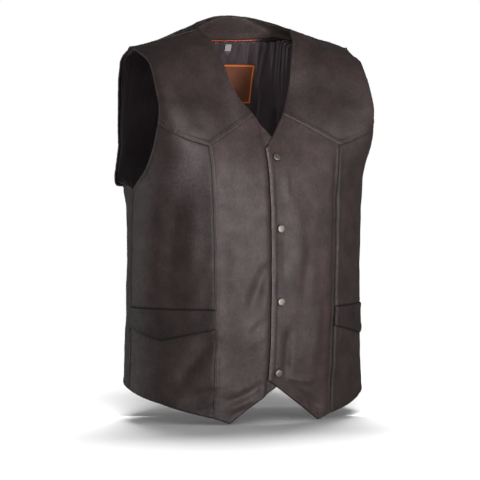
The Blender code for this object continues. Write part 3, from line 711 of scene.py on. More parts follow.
def shell(name, node, material, outer, inner, quads, bulge, pull, values, uv=None):
    """Closed wall between outer and inner points, with its rim a half round through a few loops."""
    used, quads = np.unique(quads, return_inverse=True)
    quads = quads.reshape(-1, 4)
    outer, inner, bulge, pull = outer[used], inner[used], bulge[used], pull[used]
    count = len(used)
    sides = np.stack([quads, np.roll(quads, -1, 1)], -1).reshape(-1, 2)
    _, place_of, times = np.unique(np.sort(sides, 1), axis=0, return_inverse=True, return_counts=True)
    rim = sides[times[place_of.reshape(-1)] == 1]
    up = unit(outer - inner)
    away = unit(np.cross(outer[rim[:, 1]] - outer[rim[:, 0]], up[rim[:, 0]]))
    out = np.zeros_like(outer)
    np.add.at(out, rim[:, 0], away)
    np.add.at(out, rim[:, 1], away)
    edge = np.unique(rim)
    out[edge] = unit(out[edge])
    shift = out * pull[:, None]
    outer, inner = outer - shift, inner - shift
    middle, half = (outer + inner)[edge] / 2, (outer - inner)[edge] / 2
    order = np.zeros(count, int)
    order[edge] = np.arange(len(edge))
    points, chains = [outer, inner], [rim]
    for loop in range(RIM_LOOPS):
        angle = math.pi * (loop + 1) / (RIM_LOOPS + 1)
        points.append(middle + math.cos(angle) * half + math.sin(angle) * bulge[edge][:, None] * out[edge])
        chains.append(2 * count + loop * len(edge) + order[rim])
    chains.append(count + rim)
    strips = [np.stack([a[:, 1], a[:, 0], b[:, 0], b[:, 1]], -1) for a, b in zip(chains[:-1], chains[1:])]
    repeat = used[np.concatenate([np.arange(count), np.arange(count), np.tile(edge, RIM_LOOPS)])]
    values = {key: value[repeat] for key, value in values.items()}
    uv = None if uv is None else uv[repeat]
    faces = [quads, quads[:, ::-1] + count, *strips]
    return add_mesh(name, np.concatenate(points), faces, material, values, uv, node)


def grid_shell(name, node, material, outer, inner, bulge, values=None, uv=None):
    """One closed wall from an outer and an inner grid."""
    index = numbered(outer)
    outer, inner = outer.reshape(-1, 3), inner.reshape(-1, 3)
    return shell(name, node, material, outer, inner, cells(index, outer, inner),
                 np.full(len(outer), bulge), np.zeros(len(outer)), values or {}, uv)


def stitch_rows(sheet, side, lines, base):
    """Stitch rows as runs of points and outward directions: each border moved into its panel by the row's
    place, kept where it is clear of all borders, and lifted as the leather is."""
    runs = []
    mirror = np.array([side, 1, 1])
    for line in lines:
        share, level = line["edge"]
        along, rise = (step * mirror for step in tangents(sheet, share, level))
        tangent = unit(np.gradient(line["points"], axis=0))
        inward = line["inside"] - line["points"]
        inward = unit(inward - dot(inward, tangent)[..., None] * tangent)
        aa, ar, rr = dot(along, along), dot(along, rise), dot(rise, rise)
        ia, ir = dot(inward, along), dot(inward, rise)
        det = aa * rr - ar * ar
        for row in line["sewn"]["rows"]:
            row_share = share + row * (ia * rr - ir * ar) / det
            row_level = np.minimum(level + row * (ir * aa - ia * ar) / det, 0)
            flat = place(sheet, side, row_share, row_level, base)
            clear = np.abs(row_share) < PAST_EDGE
            for other in lines:
                gap = ROW_CLEAR * row if other is line else OTHER_CLEAR
                clear &= nearest(flat, other["points"])[0] > gap
            outward = normal(sheet, row_share, row_level) * mirror
            points = place(sheet, side, row_share, row_level, base + sew(lines, flat)[0])
            ends = np.flatnonzero(np.diff(np.concatenate([[0], clear.astype(int), [0]])))
            runs += [(points[a:b], outward[a:b]) for a, b in zip(ends[::2], ends[1::2])
                     if b - a > SHORTEST_RUN]
    return runs


def stitching(name, runs):
    """Thread: each stitch is a short bead of rings along its run, its two ends sunk in the leather."""
    heads, tails, outs = [], [], []
    for points, outward in runs:
        run = run_along(points)
        starts = np.arange(FIRST_STITCH * STITCH_PITCH, run[-1] - STITCH_LENGTH, STITCH_PITCH)
        heads.append(at_run(starts, run, points))
        tails.append(at_run(starts + STITCH_LENGTH, run, points))
        outs.append(at_run(starts, run, outward))
    heads, tails, outs = (np.concatenate(part) for part in (heads, tails, outs))
    across = unit(np.cross(outs, tails - heads))
    draw = np.random.default_rng(len(heads))
    skew = draw.normal(0, STITCH_SKEW, (len(heads), 1)) * across
    heads, tails = heads + skew, tails - skew
    spine = heads[:, None] + (tails - heads)[:, None] * RING_PLACES[:, None]
    spine = spine + outs[:, None] * (THREAD * RING_RISES)[:, None]
    ring = circle(turns(THREAD_SIDES), across[:, None], outs[:, None])
    beads = spine[:, :, None] + (THREAD * RING_SIZES)[:, None, None] * ring[:, None]
    index = numbered(beads)
    caps = np.concatenate([index[:, 0, ::-1], index[:, -1]])
    return add_mesh(name, beads.reshape(-1, 3), (ring_quads(index), caps), THREAD_FINISH)


BAND = 6.28                 # a Wave texture of scale 1 / width / BAND draws bands of that width


def rgb(code, tone=1.0):
    """Linear colour from an sRGB hex value, paler or darker by a tone."""
    parts = [int(code[k:k + 2], 16) / 255 for k in (1, 3, 5)]
    return tuple(tone * (((c + .055) / 1.055) ** 2.4 if c > .04045 else c / 12.92) for c in parts) + (1.0,)


def put(node, *sockets, **settings):
    """Gives a node its sockets by their order and its settings by name, each a value or a link."""
    for key, value in [*settings.items(), *enumerate(sockets)]:
        if isinstance(key, str) and hasattr(node, key):
            setattr(node, key, value)
            continue
        socket = node.inputs[key.replace("_", " ") if isinstance(key, str) else key]
        if isinstance(value, bpy.types.NodeSocket):
            node.id_data.links.new(value, socket)
        else:
            socket.default_value = value
    return node


def add(tree, kind, *sockets, **settings):
    """Adds a node with its settings and links."""
    return put(tree.nodes.new(kind), *sockets, **settings)


def new_material(name):
    """Empty node material with its Principled shader."""
    material = bpy.data.materials.new(name)
    material.use_nodes = True
    tree = material.node_tree
    return material, tree, tree.nodes["Principled BSDF"]


def leather_material(name, tone, worn, rough):
    """Aniline-dyed cowhide, drum-milled: a soft pebbled grain about 2 mm across, patchy brown-black
    dye, a broad satin gloss that breaks up in the grain, paler edges from rubbing with painted highlights
    along rims, and painted shade in seams, grooves and hollows."""
    material, tree, shader = new_material(name)
    where = add(tree, "ShaderNodeTexCoord").outputs["Object"]
    patches = add(tree, "ShaderNodeTexNoise", Vector=where, Scale=1 / .034, Detail=5.0,
                  Roughness=.62).outputs["Fac"]
    specks = add(tree, "ShaderNodeTexNoise", Vector=where, Scale=1 / .0042, Detail=3.0,
                 Roughness=.6).outputs["Fac"]
    blotch = add(tree, "ShaderNodeMix", Factor=.34, A=patches, B=specks).outputs["Result"]
    dye = add(tree, "ShaderNodeValToRGB", Fac=blotch)
    ramp = dye.color_ramp.elements
    ramp[0].position, ramp[0].color = .37, rgb("#2d2322", tone)
    ramp[1].position, ramp[1].color = .64, rgb("#423433", tone)
    ramp.new(.5).color = rgb("#372b2a", tone)
    # paler edges from rubbing, and painted highlights along rims and in patches, mixed towards the worn
    # colour by a point attribute
    wear = add(tree, "ShaderNodeAttribute", attribute_name="wear").outputs["Fac"]
    rub = add(tree, "ShaderNodeMath", wear, specks, operation="MULTIPLY").outputs[0]
    rubbed_and_highlit = add(tree, "ShaderNodeMix", data_type="RGBA", Factor=rub, A=dye.outputs["Color"],
                 B=rgb(worn)).outputs["Result"]
    # painted shade in seams, stitch grooves, the pocket mouth, under the welt, along the hem, in hollows and
    # round the snaps, from a point attribute
    shade = add(tree, "ShaderNodeAttribute", attribute_name="shade").outputs["Fac"]
    groove = add(tree, "ShaderNodeMath", shade, .75, operation="MULTIPLY").outputs[0]
    colour = add(tree, "ShaderNodeMix", data_type="RGBA", Factor=groove, A=rubbed_and_highlit,
                 B=rgb("#15100f")).outputs["Result"]
    gloss = add(tree, "ShaderNodeMapRange", Value=blotch, From_Min=.3, From_Max=.7, To_Min=rough + .07,
                To_Max=rough - .05).outputs["Result"]
    lines = add(tree, "ShaderNodeTexNoise", Vector=where, Scale=1 / .009, Detail=6.0, Roughness=.65,
                Distortion=.8).outputs["Fac"]
    broad = add(tree, "ShaderNodeBump", Height=lines, Strength=.5, Distance=.0011).outputs["Normal"]
    pebble = add(tree, "ShaderNodeTexVoronoi", feature="SMOOTH_F1", Vector=where, Scale=1 / .0021,
                 Smoothness=.6).outputs["Distance"]
    grain = add(tree, "ShaderNodeBump", Height=pebble, Strength=.55, Distance=.0005, Normal=broad,
                invert=True).outputs["Normal"]
    put(shader, Base_Color=colour, Roughness=gloss, Normal=grain, IOR=1.5, Specular_IOR_Level=.45)
    return material


def satin_material():
    """Polyester satin lining: near black, smooth floats that gloss along the folds, fine threads."""
    material, tree, shader = new_material("polyester_satin")
    where = add(tree, "ShaderNodeTexCoord").outputs["Object"]
    tone = add(tree, "ShaderNodeTexNoise", Vector=where, Scale=1 / .03, Detail=3.0).outputs["Fac"]
    colour = add(tree, "ShaderNodeMix", data_type="RGBA", Factor=tone, A=rgb("#33282a"), B=rgb("#4c4145"))
    # threads drawn 0.9 mm wide, coarser than the real 0.2 mm, so that they show
    threads = add(tree, "ShaderNodeTexWave", Vector=where, Scale=1 / .0009 / BAND, Distortion=1.2, Detail=1.0)
    ridges = add(tree, "ShaderNodeBump", Height=threads.outputs["Fac"], Strength=.12, Distance=.0002)
    gloss = add(tree, "ShaderNodeMapRange", Value=tone, To_Min=.38, To_Max=.50)
    put(shader, Base_Color=colour.outputs["Result"], Normal=ridges.outputs["Normal"],
        Roughness=gloss.outputs["Result"], Sheen_Weight=.25, Sheen_Roughness=.4)
    return material


def woven_material(name, ground, thread, line=None):
    """Damask-woven tape: fine ribs across the piece's own cut, matte, with an optional border line."""
    material, tree, shader = new_material(name)
    cut = add(tree, "ShaderNodeUVMap", uv_map="cut").outputs["UV"]
    # ribs drawn 0.7 mm wide and picks 1.1 mm, coarser than the real weave, so that they show
    ribs = add(tree, "ShaderNodeTexWave", Vector=cut, Scale=1 / .0007 / BAND, bands_direction="Y",
               Distortion=.6).outputs["Fac"]
    picks = add(tree, "ShaderNodeTexWave", Vector=cut, Scale=1 / .0011 / BAND, bands_direction="X",
                Distortion=.6).outputs["Fac"]
    weave = add(tree, "ShaderNodeMix", Factor=.5, A=ribs, B=picks).outputs["Result"]
    colour = add(tree, "ShaderNodeMix", data_type="RGBA", Factor=weave, A=rgb(ground), B=rgb(thread))
    if line:
        mark = add(tree, "ShaderNodeAttribute", attribute_name="line").outputs["Fac"]
        colour = add(tree, "ShaderNodeMix", data_type="RGBA", Factor=mark, A=colour.outputs["Result"],
                     B=rgb(line))
    ridges = add(tree, "ShaderNodeBump", Height=weave, Strength=.4, Distance=.0003)
    put(shader, Base_Color=colour.outputs["Result"], Normal=ridges.outputs["Normal"], Roughness=.72)
    return material


def cord_material():
    """Satin bias piping over a cord: orange-red, with slanting threads along its run, and painted shade on
    its far end.
    """
    material, tree, shader = new_material("satin_piping")
    cut = add(tree, "ShaderNodeUVMap", uv_map="cut").outputs["UV"]
    # slanting threads drawn about 2 mm wide, coarser than the real weave, so that they show
    threads = add(tree, "ShaderNodeTexWave", Vector=cut, Scale=1 / .0016 / BAND, bands_direction="DIAGONAL",
                  Distortion=.8).outputs["Fac"]
    colour = add(tree, "ShaderNodeMix", data_type="RGBA", Factor=threads, A=rgb("#a83c20"), B=rgb("#d8673f"))
    where = add(tree, "ShaderNodeTexCoord").outputs["Object"]
    across = add(tree, "ShaderNodeSeparateXYZ", Vector=where).outputs["X"]
    # painted shade: the cord's colour darkens towards its far end
    end_shade = add(tree, "ShaderNodeMapRange", Value=across, From_Min=CORD_END_SHADE[0], From_Max=CORD_END_SHADE[1])
    end_shaded = add(tree, "ShaderNodeMix", data_type="RGBA", Factor=end_shade.outputs["Result"],
                 A=colour.outputs["Result"], B=rgb("#2a1c19"))
    ridges = add(tree, "ShaderNodeBump", Height=threads, Strength=.3, Distance=.0003)
    put(shader, Base_Color=end_shaded.outputs["Result"], Normal=ridges.outputs["Normal"], Roughness=.42)
    return material


def thread_material():
    """Bonded polyester thread: brown-black, twisted, a little glossier than the leather."""
    material, tree, shader = new_material("bonded_thread")
    where = add(tree, "ShaderNodeTexCoord").outputs["Object"]
    twist = add(tree, "ShaderNodeTexNoise", Vector=where, Scale=1 / .0008, Detail=2.0).outputs["Fac"]
    colour = add(tree, "ShaderNodeMix", data_type="RGBA", Factor=twist, A=rgb("#2a211f"), B=rgb("#4a3e3a"))
    ridges = add(tree, "ShaderNodeBump", Height=twist, Strength=.4, Distance=.0003)
    put(shader, Base_Color=colour.outputs["Result"], Normal=ridges.outputs["Normal"], Roughness=.45)
    return material


def nickel_material():
    """Antique nickel on stamped brass: grey metal, tumbled so the dome is bright and the rim stays dark."""
    material, tree, shader = new_material("antique_nickel")
    where = add(tree, "ShaderNodeTexCoord").outputs["Object"]
    tarnish = add(tree, "ShaderNodeTexNoise", Vector=where, Scale=1 / .003, Detail=4.0).outputs["Fac"]
    rise = add(tree, "ShaderNodeAttribute", attribute_name="rise").outputs["Fac"]
    worn = add(tree, "ShaderNodeMapRange", Value=rise, From_Min=.05, From_Max=.40).outputs["Result"]
    patchy = add(tree, "ShaderNodeMath", worn, tarnish, operation="MULTIPLY").outputs[0]
    colour = add(tree, "ShaderNodeMix", data_type="RGBA", Factor=patchy, A=rgb("#5c5553"), B=rgb("#989089"))
    dents = add(tree, "ShaderNodeBump", Height=tarnish, Strength=.12, Distance=.0003)
    gloss = add(tree, "ShaderNodeMapRange", Value=tarnish, To_Min=.40, To_Max=.54)
    put(shader, Base_Color=colour.outputs["Result"], Normal=dents.outputs["Normal"],
        Roughness=gloss.outputs["Result"], Metallic=1.0)
    return material


# Panels are cut from several parts of the hide, which take the dye a little differently, and their tones also
# carry painted light and shade for how much light falls on each: tone and roughness
HIDE_AND_LIGHT_TONES = {"back": (1.10, .56), "yoke": (1.20, .54), "front_centre": (1.48, .52), "front_side": (1.0, .56),
        "pocket_front": (1.02, .56), "pocket_welt": (.78, .58)}
COWHIDE = {panel: leather_material("milled_cowhide_" + panel, tone, "#94888a", rough)
           for panel, (tone, rough) in HIDE_AND_LIGHT_TONES.items()}
# the facing's tone also carries painted light for the inside of the neck
COWHIDE_INSIDE = leather_material("milled_cowhide_facing", 1.20, "#5d504c", .58)
SATIN = satin_material()
LABEL_CLOTH = woven_material("woven_label", "#4a2a1e", "#8a4a28", "#f07a30")
TAB_CLOTH = woven_material("woven_tab", "#8d8883", "#b5b0aa")
PIPING = cord_material()
THREAD_FINISH = thread_material()
NICKEL = nickel_material()


def leather_piece(node, sheet, sides, grid, borders, base=0.0, joined_rows=0):
    """A leather panel from one grid and its sewn borders, on one side or on both, where the halves share
    their first columns up to a row. The panel is a closed wall, and its thread a second piece."""
    outer, inner, marks, quads, runs = [], [], [], [], []
    for side in sides:
        lines = sewn_lines(sheet, side, grid, borders, base)
        flat = place(sheet, side, *grid, base)
        height, wear, shade, bulge, pull = sew(lines, flat)
        if sheet is FRONT:
            wear, shade = front_marks(flat, wear, shade)
        outer.append(place(sheet, side, *grid, base + height).reshape(-1, 3))
        inner.append(place(sheet, side, *grid, base - LEATHER).reshape(-1, 3))
        marks.append([v.reshape(-1) for v in (wear, shade, bulge, pull)])
        index = numbered(flat) + len(quads) * height.size
        index[:joined_rows, 0] %= height.size
        quads.append(cells(index, np.concatenate(outer), np.concatenate(inner)))
        runs += stitch_rows(sheet, side, lines, base)
    outer, inner, quads = (np.concatenate(part) for part in (outer, inner, quads))
    wear, shade, bulge, pull = (np.concatenate(part) for part in zip(*marks))
    hide = COWHIDE[node.replace("_left", "").replace("_right", "")]
    piece = shell(node + "_leather", node, hide, outer, inner, quads, bulge, pull,
                  {"wear": wear, "shade": shade})
    thread = stitching(node + "_stitching", runs)
    [point(sheet, *grid)] * len(sides)


def front_leather(word, side):
    """The five leather pieces of one front, from placket to side seam."""
    def panel(name, grid, borders, base=0.0):
        leather_piece(name + "_" + word, FRONT, (side,), grid, borders, base)

    marks = ruler((-PLACKET, 0, YOKE_NECK_X, HEM_TIP_X, SEAM_COLUMN))
    panel("front_centre", centre_grid(marks, ruler((0, CENTRE_RISE)) / CENTRE_RISE), [
        ("hem", "bottom"), ("placket", "first"), ("turned", "top", marks <= YOKE_NECK_X),
        ("under_lit", "top", marks >= YOKE_NECK_X), ("seamed" if side > 0 else "lapped_lit", "last")])

    across = ruler((0, SIDE_WIDTH / 2, SIDE_WIDTH)) / SIDE_WIDTH
    at = rung_marks(SIDE_RISES, (2, 3, 4))
    panel("front_side", side_grid(across, at), [
        ("mouth", "bottom"), ("under", "first"), ("under", "top"), ("under", "last", at <= 3),
        ("turned", "last", at >= 3)])

    at = rung_marks(POCKET_RISES, (0, 1, 2))
    foot = int(np.argmin(np.abs(at - 1)))
    panel("pocket_front", side_grid(across, at), [
        ("hem", "bottom"), ("under", "first"), ("plain", "top"), ("under", "last"), ("below", foot)])

    at = 1 + ruler((0, WELT_RISE)) / WELT_RISE
    panel("pocket_welt", side_grid(across, at), [
        ("welt_foot", "bottom"), ("mouth", "top"), ("plain", "first"), ("plain", "last")], LEATHER + SEAM_GAP)

    spread = ruler((0, YOKE_WIDTH, 2 * YOKE_WIDTH)) / YOKE_WIDTH
    panel("yoke", yoke_grid(spread, ruler((0, YOKE_RISE)) / YOKE_RISE), [
        ("lapped_lit", "bottom", spread <= 1), ("lapped", "bottom", spread >= 1), ("turned", "first"),
        ("under", "top"), ("turned", "last")])


def back_leather():
    """The back, two halves joined along the middle from hem to nape."""
    share = ruler((0, BACK_WIDTH), BACK_STEP) / BACK_WIDTH
    at = rung_marks(BACK_RISES, (0, 1, 2, 3), BACK_STEP, (0, 2, 3))
    leather_piece("back", BACK, (1, -1), back_half_grid(share, at), [
        ("hem", "bottom"), ("turned", "first", at >= 2), ("lapped", "last", at <= 1),
        ("turned", "last", at >= 1), ("lapped_dull", "top")], joined_rows=int((at <= 2).sum()))


def neck_band(neck_level, across):
    """Share and level part of the way across the facing, from the neckline 0 to the piping 1."""
    share, level = (spline(FACING_EDGES[0], edge, neck_level) for edge in FACING_EDGES[1:])
    return share * across, neck_level + (level - neck_level) * across


def whole(half):
    """Both sides of a half grid as one, the right side first; half gives the grid of a side."""
    return np.concatenate([half(-1)[:, :0:-1], half(1)], 1)


def lining_limit(level):
    """Share where the lining stops: short of the armhole, and at the side seam below it."""
    return TURN_IN + (1 - TURN_IN) * smooth((TURN_IN_PLACE - level) / TURN_IN_FALL)


def gathers(run, down, seed, spacing):
    """Gathered folds: bells at seeded, uneven places along a run, each with its own width, depth,
    lean and length down from the gathered edge."""
    draw = np.random.default_rng(seed)
    depth = np.zeros(np.broadcast(run, down).shape)
    place_at = run.min() + spacing * draw.uniform(*GATHER_START)
    while place_at < run.max():
        width, height = spacing * draw.uniform(*GATHER_WIDTHS), draw.uniform(*GATHER_HEIGHTS)
        lean, reach = draw.uniform(*GATHER_LEANS), draw.uniform(*GATHER_REACHES)
        fold = bell(run - place_at - lean * down, width * (1 + GATHER_SPREAD * down))
        depth = np.maximum(depth, height * fold * bell(down, reach))
        place_at += spacing * draw.uniform(*GATHER_STEPS)
    return depth


LINING_LIFT = -LEATHER - LAYER_GAP


def back_lining():
    """Back lining: columns rise from the hem and fan out to the piping and the shoulder ridge, and the
    gathers run down from there. It lies flat under the tags."""
    run = ruler(LINING_RUN, .5 * LINING_STEP, ()) / LINING_RUN[-1]
    bend = LINING_RUN[1] / LINING_RUN[-1]
    top_share, top_level = neck_band(np.interp(run, (0, bend), (NAPE, 0)), LINING_START)
    ridge = np.interp(run, (bend, 1), (0, 1))
    top_share = np.where(run > bend, top_share + (TURN_IN - top_share) * ridge, top_share)
    hem = np.interp(run, *HEM_BACK) - LEVEL_DROP + LINING_HEM
    v = np.linspace(0, 1, LINING_ROWS)[:, None]
    level = hem + (top_level - hem) * v
    limit = lining_limit(level)
    share = np.minimum(run * limit + (top_share - run * limit) * v ** LINING_FAN, limit)
    width = run[None, :] * LINING_WIDTH
    folds = sum(depth * gathers(width, np.abs(v - middle) * LINING_LENGTH, seed, spacing)
                for depth, middle, seed, spacing in BACK_GATHERS)
    p = point(BACK, share, level)

    def folded(side):
        x, z, depth = side * p[..., 0], p[..., 2], folds
        for (x0, x1), (z0, z1), soft in TAGS:
            beside, above = np.maximum(x0 - x, x - x1), np.maximum(z0 - z, z - z1)
            depth = depth * smooth(np.hypot(np.maximum(beside, 0), np.maximum(above, 0)) / soft)
        return depth

    outer, inner = (whole(lambda side: place(BACK, side, share, level, LINING_LIFT - folded(side) - depth))
                    for depth in (0, LINING))
    piece = grid_shell("lining_back_satin", "lining_back", SATIN, outer, inner, LINING_BULGE)


def front_lining(word, side):
    """Front lining from behind the placket to the side seam and up to the ridge, with lengthwise folds."""
    across = ruler((0, SIDE_WIDTH), LINING_STEP, ()) / SIDE_WIDTH
    rises = ruler(FRONT_LINING_RISES, LINING_STEP, ())
    side_share, side_level = side_grid(across, np.interp(rises, (0, *FRONT_LINING_RISES[1:]), (0, 2, 3, 4)))
    side_share = np.minimum(side_share, lining_limit(side_level))
    seam_z = point(FRONT, side_share[:, 0], side_level[:, 0])[:, 2]
    climb = (seam_z - SEAM_FOOT_Z) / (SEAM_TOP_Z - SEAM_FOOT_Z)
    placket = [-PLACKET, 0, YOKE_NECK_X]
    marks = np.concatenate([placket, ruler((FRONT_LINING_X, HEM_TIP_X, SEAM_COLUMN), LINING_STEP, ())])
    centre = [g[1:, len(placket):] for g in centre_grid(marks, np.concatenate([[0], climb]))]
    share, level = (np.concatenate([c, s[:, 1:]], 1) for c, s in zip(centre, (side_share, side_level)))
    rise = np.linspace(0, 1, FRONT_LINING_ROWS)[1:, None]
    share = np.concatenate([share, np.minimum(np.tile(share[-1], (len(rise), 1)), TURN_IN)])
    level = np.concatenate([level, level[-1] * (1 - rise)])
    p = point(FRONT, share, level)
    depth, height, seed, spacing = FRONT_GATHERS
    folds = depth * gathers(p[..., 0], np.abs(p[..., 2] - height), seed + side, spacing)
    outer, inner = (place(FRONT, side, share, level, LINING_LIFT - folds - depth) for depth in (0, LINING))
    node = "lining_" + word
    piece = grid_shell(node + "_satin", node, SATIN, outer, inner, LINING_BULGE)


def neck_line(neck, across, lift):
    """A line round the inside of the back neck, with the back's outward directions."""
    share, level = neck_band(neck, across)
    points = whole(lambda side: place(BACK, side, share, level, lift))[0]
    outward = whole(lambda side: normal(BACK, share, level) * np.array([side, 1, 1]))[0]
    return points, outward


def neck_facing():
    """Leather facing inside the back neck, with its stitch row."""
    neck = np.linspace(NAPE, 0, FACING_POINTS)[None, :]
    across = ruler((0, FACING_WIDTH))[:, None] / FACING_WIDTH * FACING_END
    share, level = neck_band(neck, across)
    run = np.broadcast_to(across * FACING_WIDTH, share.shape)
    groove = FACING_GROOVE[0] * bell(run - FACING_ROW, FACING_GROOVE[1])
    groove = groove - FACING_SWELL[0] * bell(run - FACING_SWELL[1], FACING_SWELL[2])
    outer, inner = (whole(lambda side: place(BACK, side, share, level, lift))
                    for lift in (LINING_LIFT, LINING_LIFT - FACING + groove))
    # painted shade along the facing's stitch row
    shade = FACING_SHADE[0] * bell(run - FACING_ROW, FACING_SHADE[1])
    marks = {key: whole(lambda side: value).reshape(-1)
             for key, value in (("wear", bell(run, FACING_RUB)), ("shade", shade))}
    facing = grid_shell("neck_facing_leather", "neck_facing", COWHIDE_INSIDE, outer, inner,
                        FACING_BULGE, marks)
    row, outward = neck_line(neck, FACING_ROW / FACING_WIDTH, LINING_LIFT - FACING + FACING_THREAD)
    thread = stitching("neck_facing_stitching", [(row, -outward)])


def neck_piping():
    """The cord below the facing: rings along the facing's lower edge."""
    neck = np.linspace(NAPE, PIPING_END, PIPING_POINTS)[None, :]
    path, up = neck_line(neck, 1, LINING_LIFT - PIPING_RADIUS)
    along = unit(np.gradient(path, axis=0))
    across = unit(np.cross(up, along))
    turn = turns(PIPING_SIDES)
    tube = path[:, None] + PIPING_RADIUS * circle(turn, across[:, None], np.cross(along, across)[:, None])
    index = numbered(tube)
    uv = np.stack(np.broadcast_arrays(run_along(path)[:, None], PIPING_RADIUS * turn), -1).reshape(-1, 2)
    faces = (ring_quads(index), index[:1, ::-1], index[-1:])
    add_mesh("neck_piping_cord", tube.reshape(-1, 3), faces, PIPING, uv=uv, node="neck_piping")


def tag(name, node, material, x_range, z_range, points, curl, line=None):
    """Small woven tag on the back lining: a grid over its place, its free corners curling a little."""
    u, v = np.meshgrid(np.linspace(0, 1, points[0]), np.linspace(0, 1, points[1]))
    width, height = x_range[1] - x_range[0], z_range[1] - z_range[0]
    share, level = locate(BACK, x_range[0] + width * u, z_range[0] + height * v)
    wave_height, wave_u, wave_v = TAG_WAVE
    bend = curl * (np.abs(2 * u - 1) ** 3 * (1 - v) + wave_height * np.sin(wave_u * u + wave_v * v))
    lift = LINING_LIFT - LINING - LAYER_GAP
    outer, inner = (place(BACK, 1, share, level, lift - bend - depth) for depth in (0, LABEL))
    uv = np.stack([u * width, v * height], -1).reshape(-1, 2)
    values = {}
    if line:
        inset = np.minimum(np.minimum(u, 1 - u) * width, np.minimum(v, 1 - v) * height)
        inside = smooth((inset - line[0]) / TAG_LINE_SOFT) * smooth((line[1] - inset) / TAG_LINE_SOFT)
        values["line"] = inside.reshape(-1)
    piece = grid_shell(name, node, material, outer, inner, TAG_BULGE, values, uv)


def snaps():
    """Snap caps: a profile of radius and rise turned about the outward direction of the placket."""
    radius, rise = (np.array(c) for c in SNAP_PROFILE)
    for number, height in enumerate(SNAP_HEIGHTS, 1):
        share, level = locate(FRONT, 0.0, height)
        axis = normal(FRONT, share, level)
        foot = point(FRONT, share, level) + relief(FRONT, np.zeros(1), np.full(1, height)) * axis
        foot = foot + SEAM_GAP * axis
        across = unit(np.cross(np.array([0, 0, 1.0]), axis))
        ring = circle(turns(SNAP_SIDES), across, np.cross(axis, across))
        body = foot + radius[1:-1, None, None] * ring + rise[1:-1, None, None] * axis
        poles = foot + rise[[0, -1], None] * axis
        index = numbered(body)
        ends = np.broadcast_to(index.size + np.arange(2)[:, None], (2, SNAP_SIDES))
        base = np.stack([np.roll(index[0], -1), index[0], ends[0]], -1)
        top = np.stack([index[-1], np.roll(index[-1], -1), ends[1]], -1)
        values = {"rise": np.concatenate([np.repeat(rise[1:-1], SNAP_SIDES), rise[[0, -1]]]) / rise.max()}
        add_mesh("snap_%d_cap" % number, np.concatenate([body.reshape(-1, 3), poles]),
                 (ring_quads(index), base, top), NICKEL, values, node="snap_%d" % number)


# Camera, as the photo was taken: the place it faces, metres a pixel covers there, and that place's pixel
CAMERA_AZIMUTH, CAMERA_ELEVATION, CAMERA_DISTANCE = math.radians(-25), math.radians(2.5), 5.0
CAMERA_AIM = Vector((0, 0, -.29))
IMAGE, PIXEL, AIM_PIXEL = 480, .00166, (245, 222)
SENSOR = 36

# Floor: height, reach, where the paper fades to plain white light, and its grid
FLOOR_Z, FLOOR_REACH, PAPER_END = -.6135, 3.0, (.75, 1.25)
FLOOR_RINGS, FLOOR_TURNS = 11, 33

# Lamps: place, aim, watts, then a spot's radius and its cone in degrees, or the sides of a soft box
SPOTS = {
    "front_pool": ((.25, -2.8, -.44), (0, -.1, -.20), 500, .48, 18),
    "neck_pool": ((-1.7, -1.0, 1.1), (.0, .05, .02), 88, .15, 10),
    "neck_bounce": ((-.05, -.05, -.30), (.07, .03, .03), .8, .05, 40),
}
SOFT_BOXES = {
    "front_fill": ((-.8, -2.8, 1.1), (0, 0, -.25), 18, 2.4, 2.0),
    "left_fill": ((1.9, -2.1, .1), (0, 0, -.3), 6, 1.2, 1.6),
    "back_left": ((-2.2, 1.7, -.25), (0, 0, -.3), 14, 1.2, 1.6),
    "back_right": ((1.0, 2.8, -.2), (0, 0, -.3), 45, 1.2, 1.6),
    "floor_light": ((1.55, 2.92, 5.2), (0, -.1, -.6), 720, 3.8, 3.4),
    "floor_fill": ((0, -.3, 2.5), (0, -.3, -.6), 6, 2.5, 2.5),
    "floor_light_before": ((-1.35, -3.61, 4.2), (0, .1, -.6), 820, 3.8, 3.4),
}
SHADOWLESS = ("floor_fill",)
# The only things that a lamp lights: each half of the floor has its own, so that the shadow lies on both
NECK_PIECES = ("neck_facing_leather", "neck_piping_cord", "lining_back_satin", "label_cloth",
               "size_tab_cloth")
LIT_ONLY = {"neck_pool": NECK_PIECES, "neck_bounce": NECK_PIECES, "floor_light": ("floor_before",),
            "floor_light_before": ("floor_behind",), "floor_fill": ("floor_before", "floor_behind")}
SURROUND_LIGHT = .15


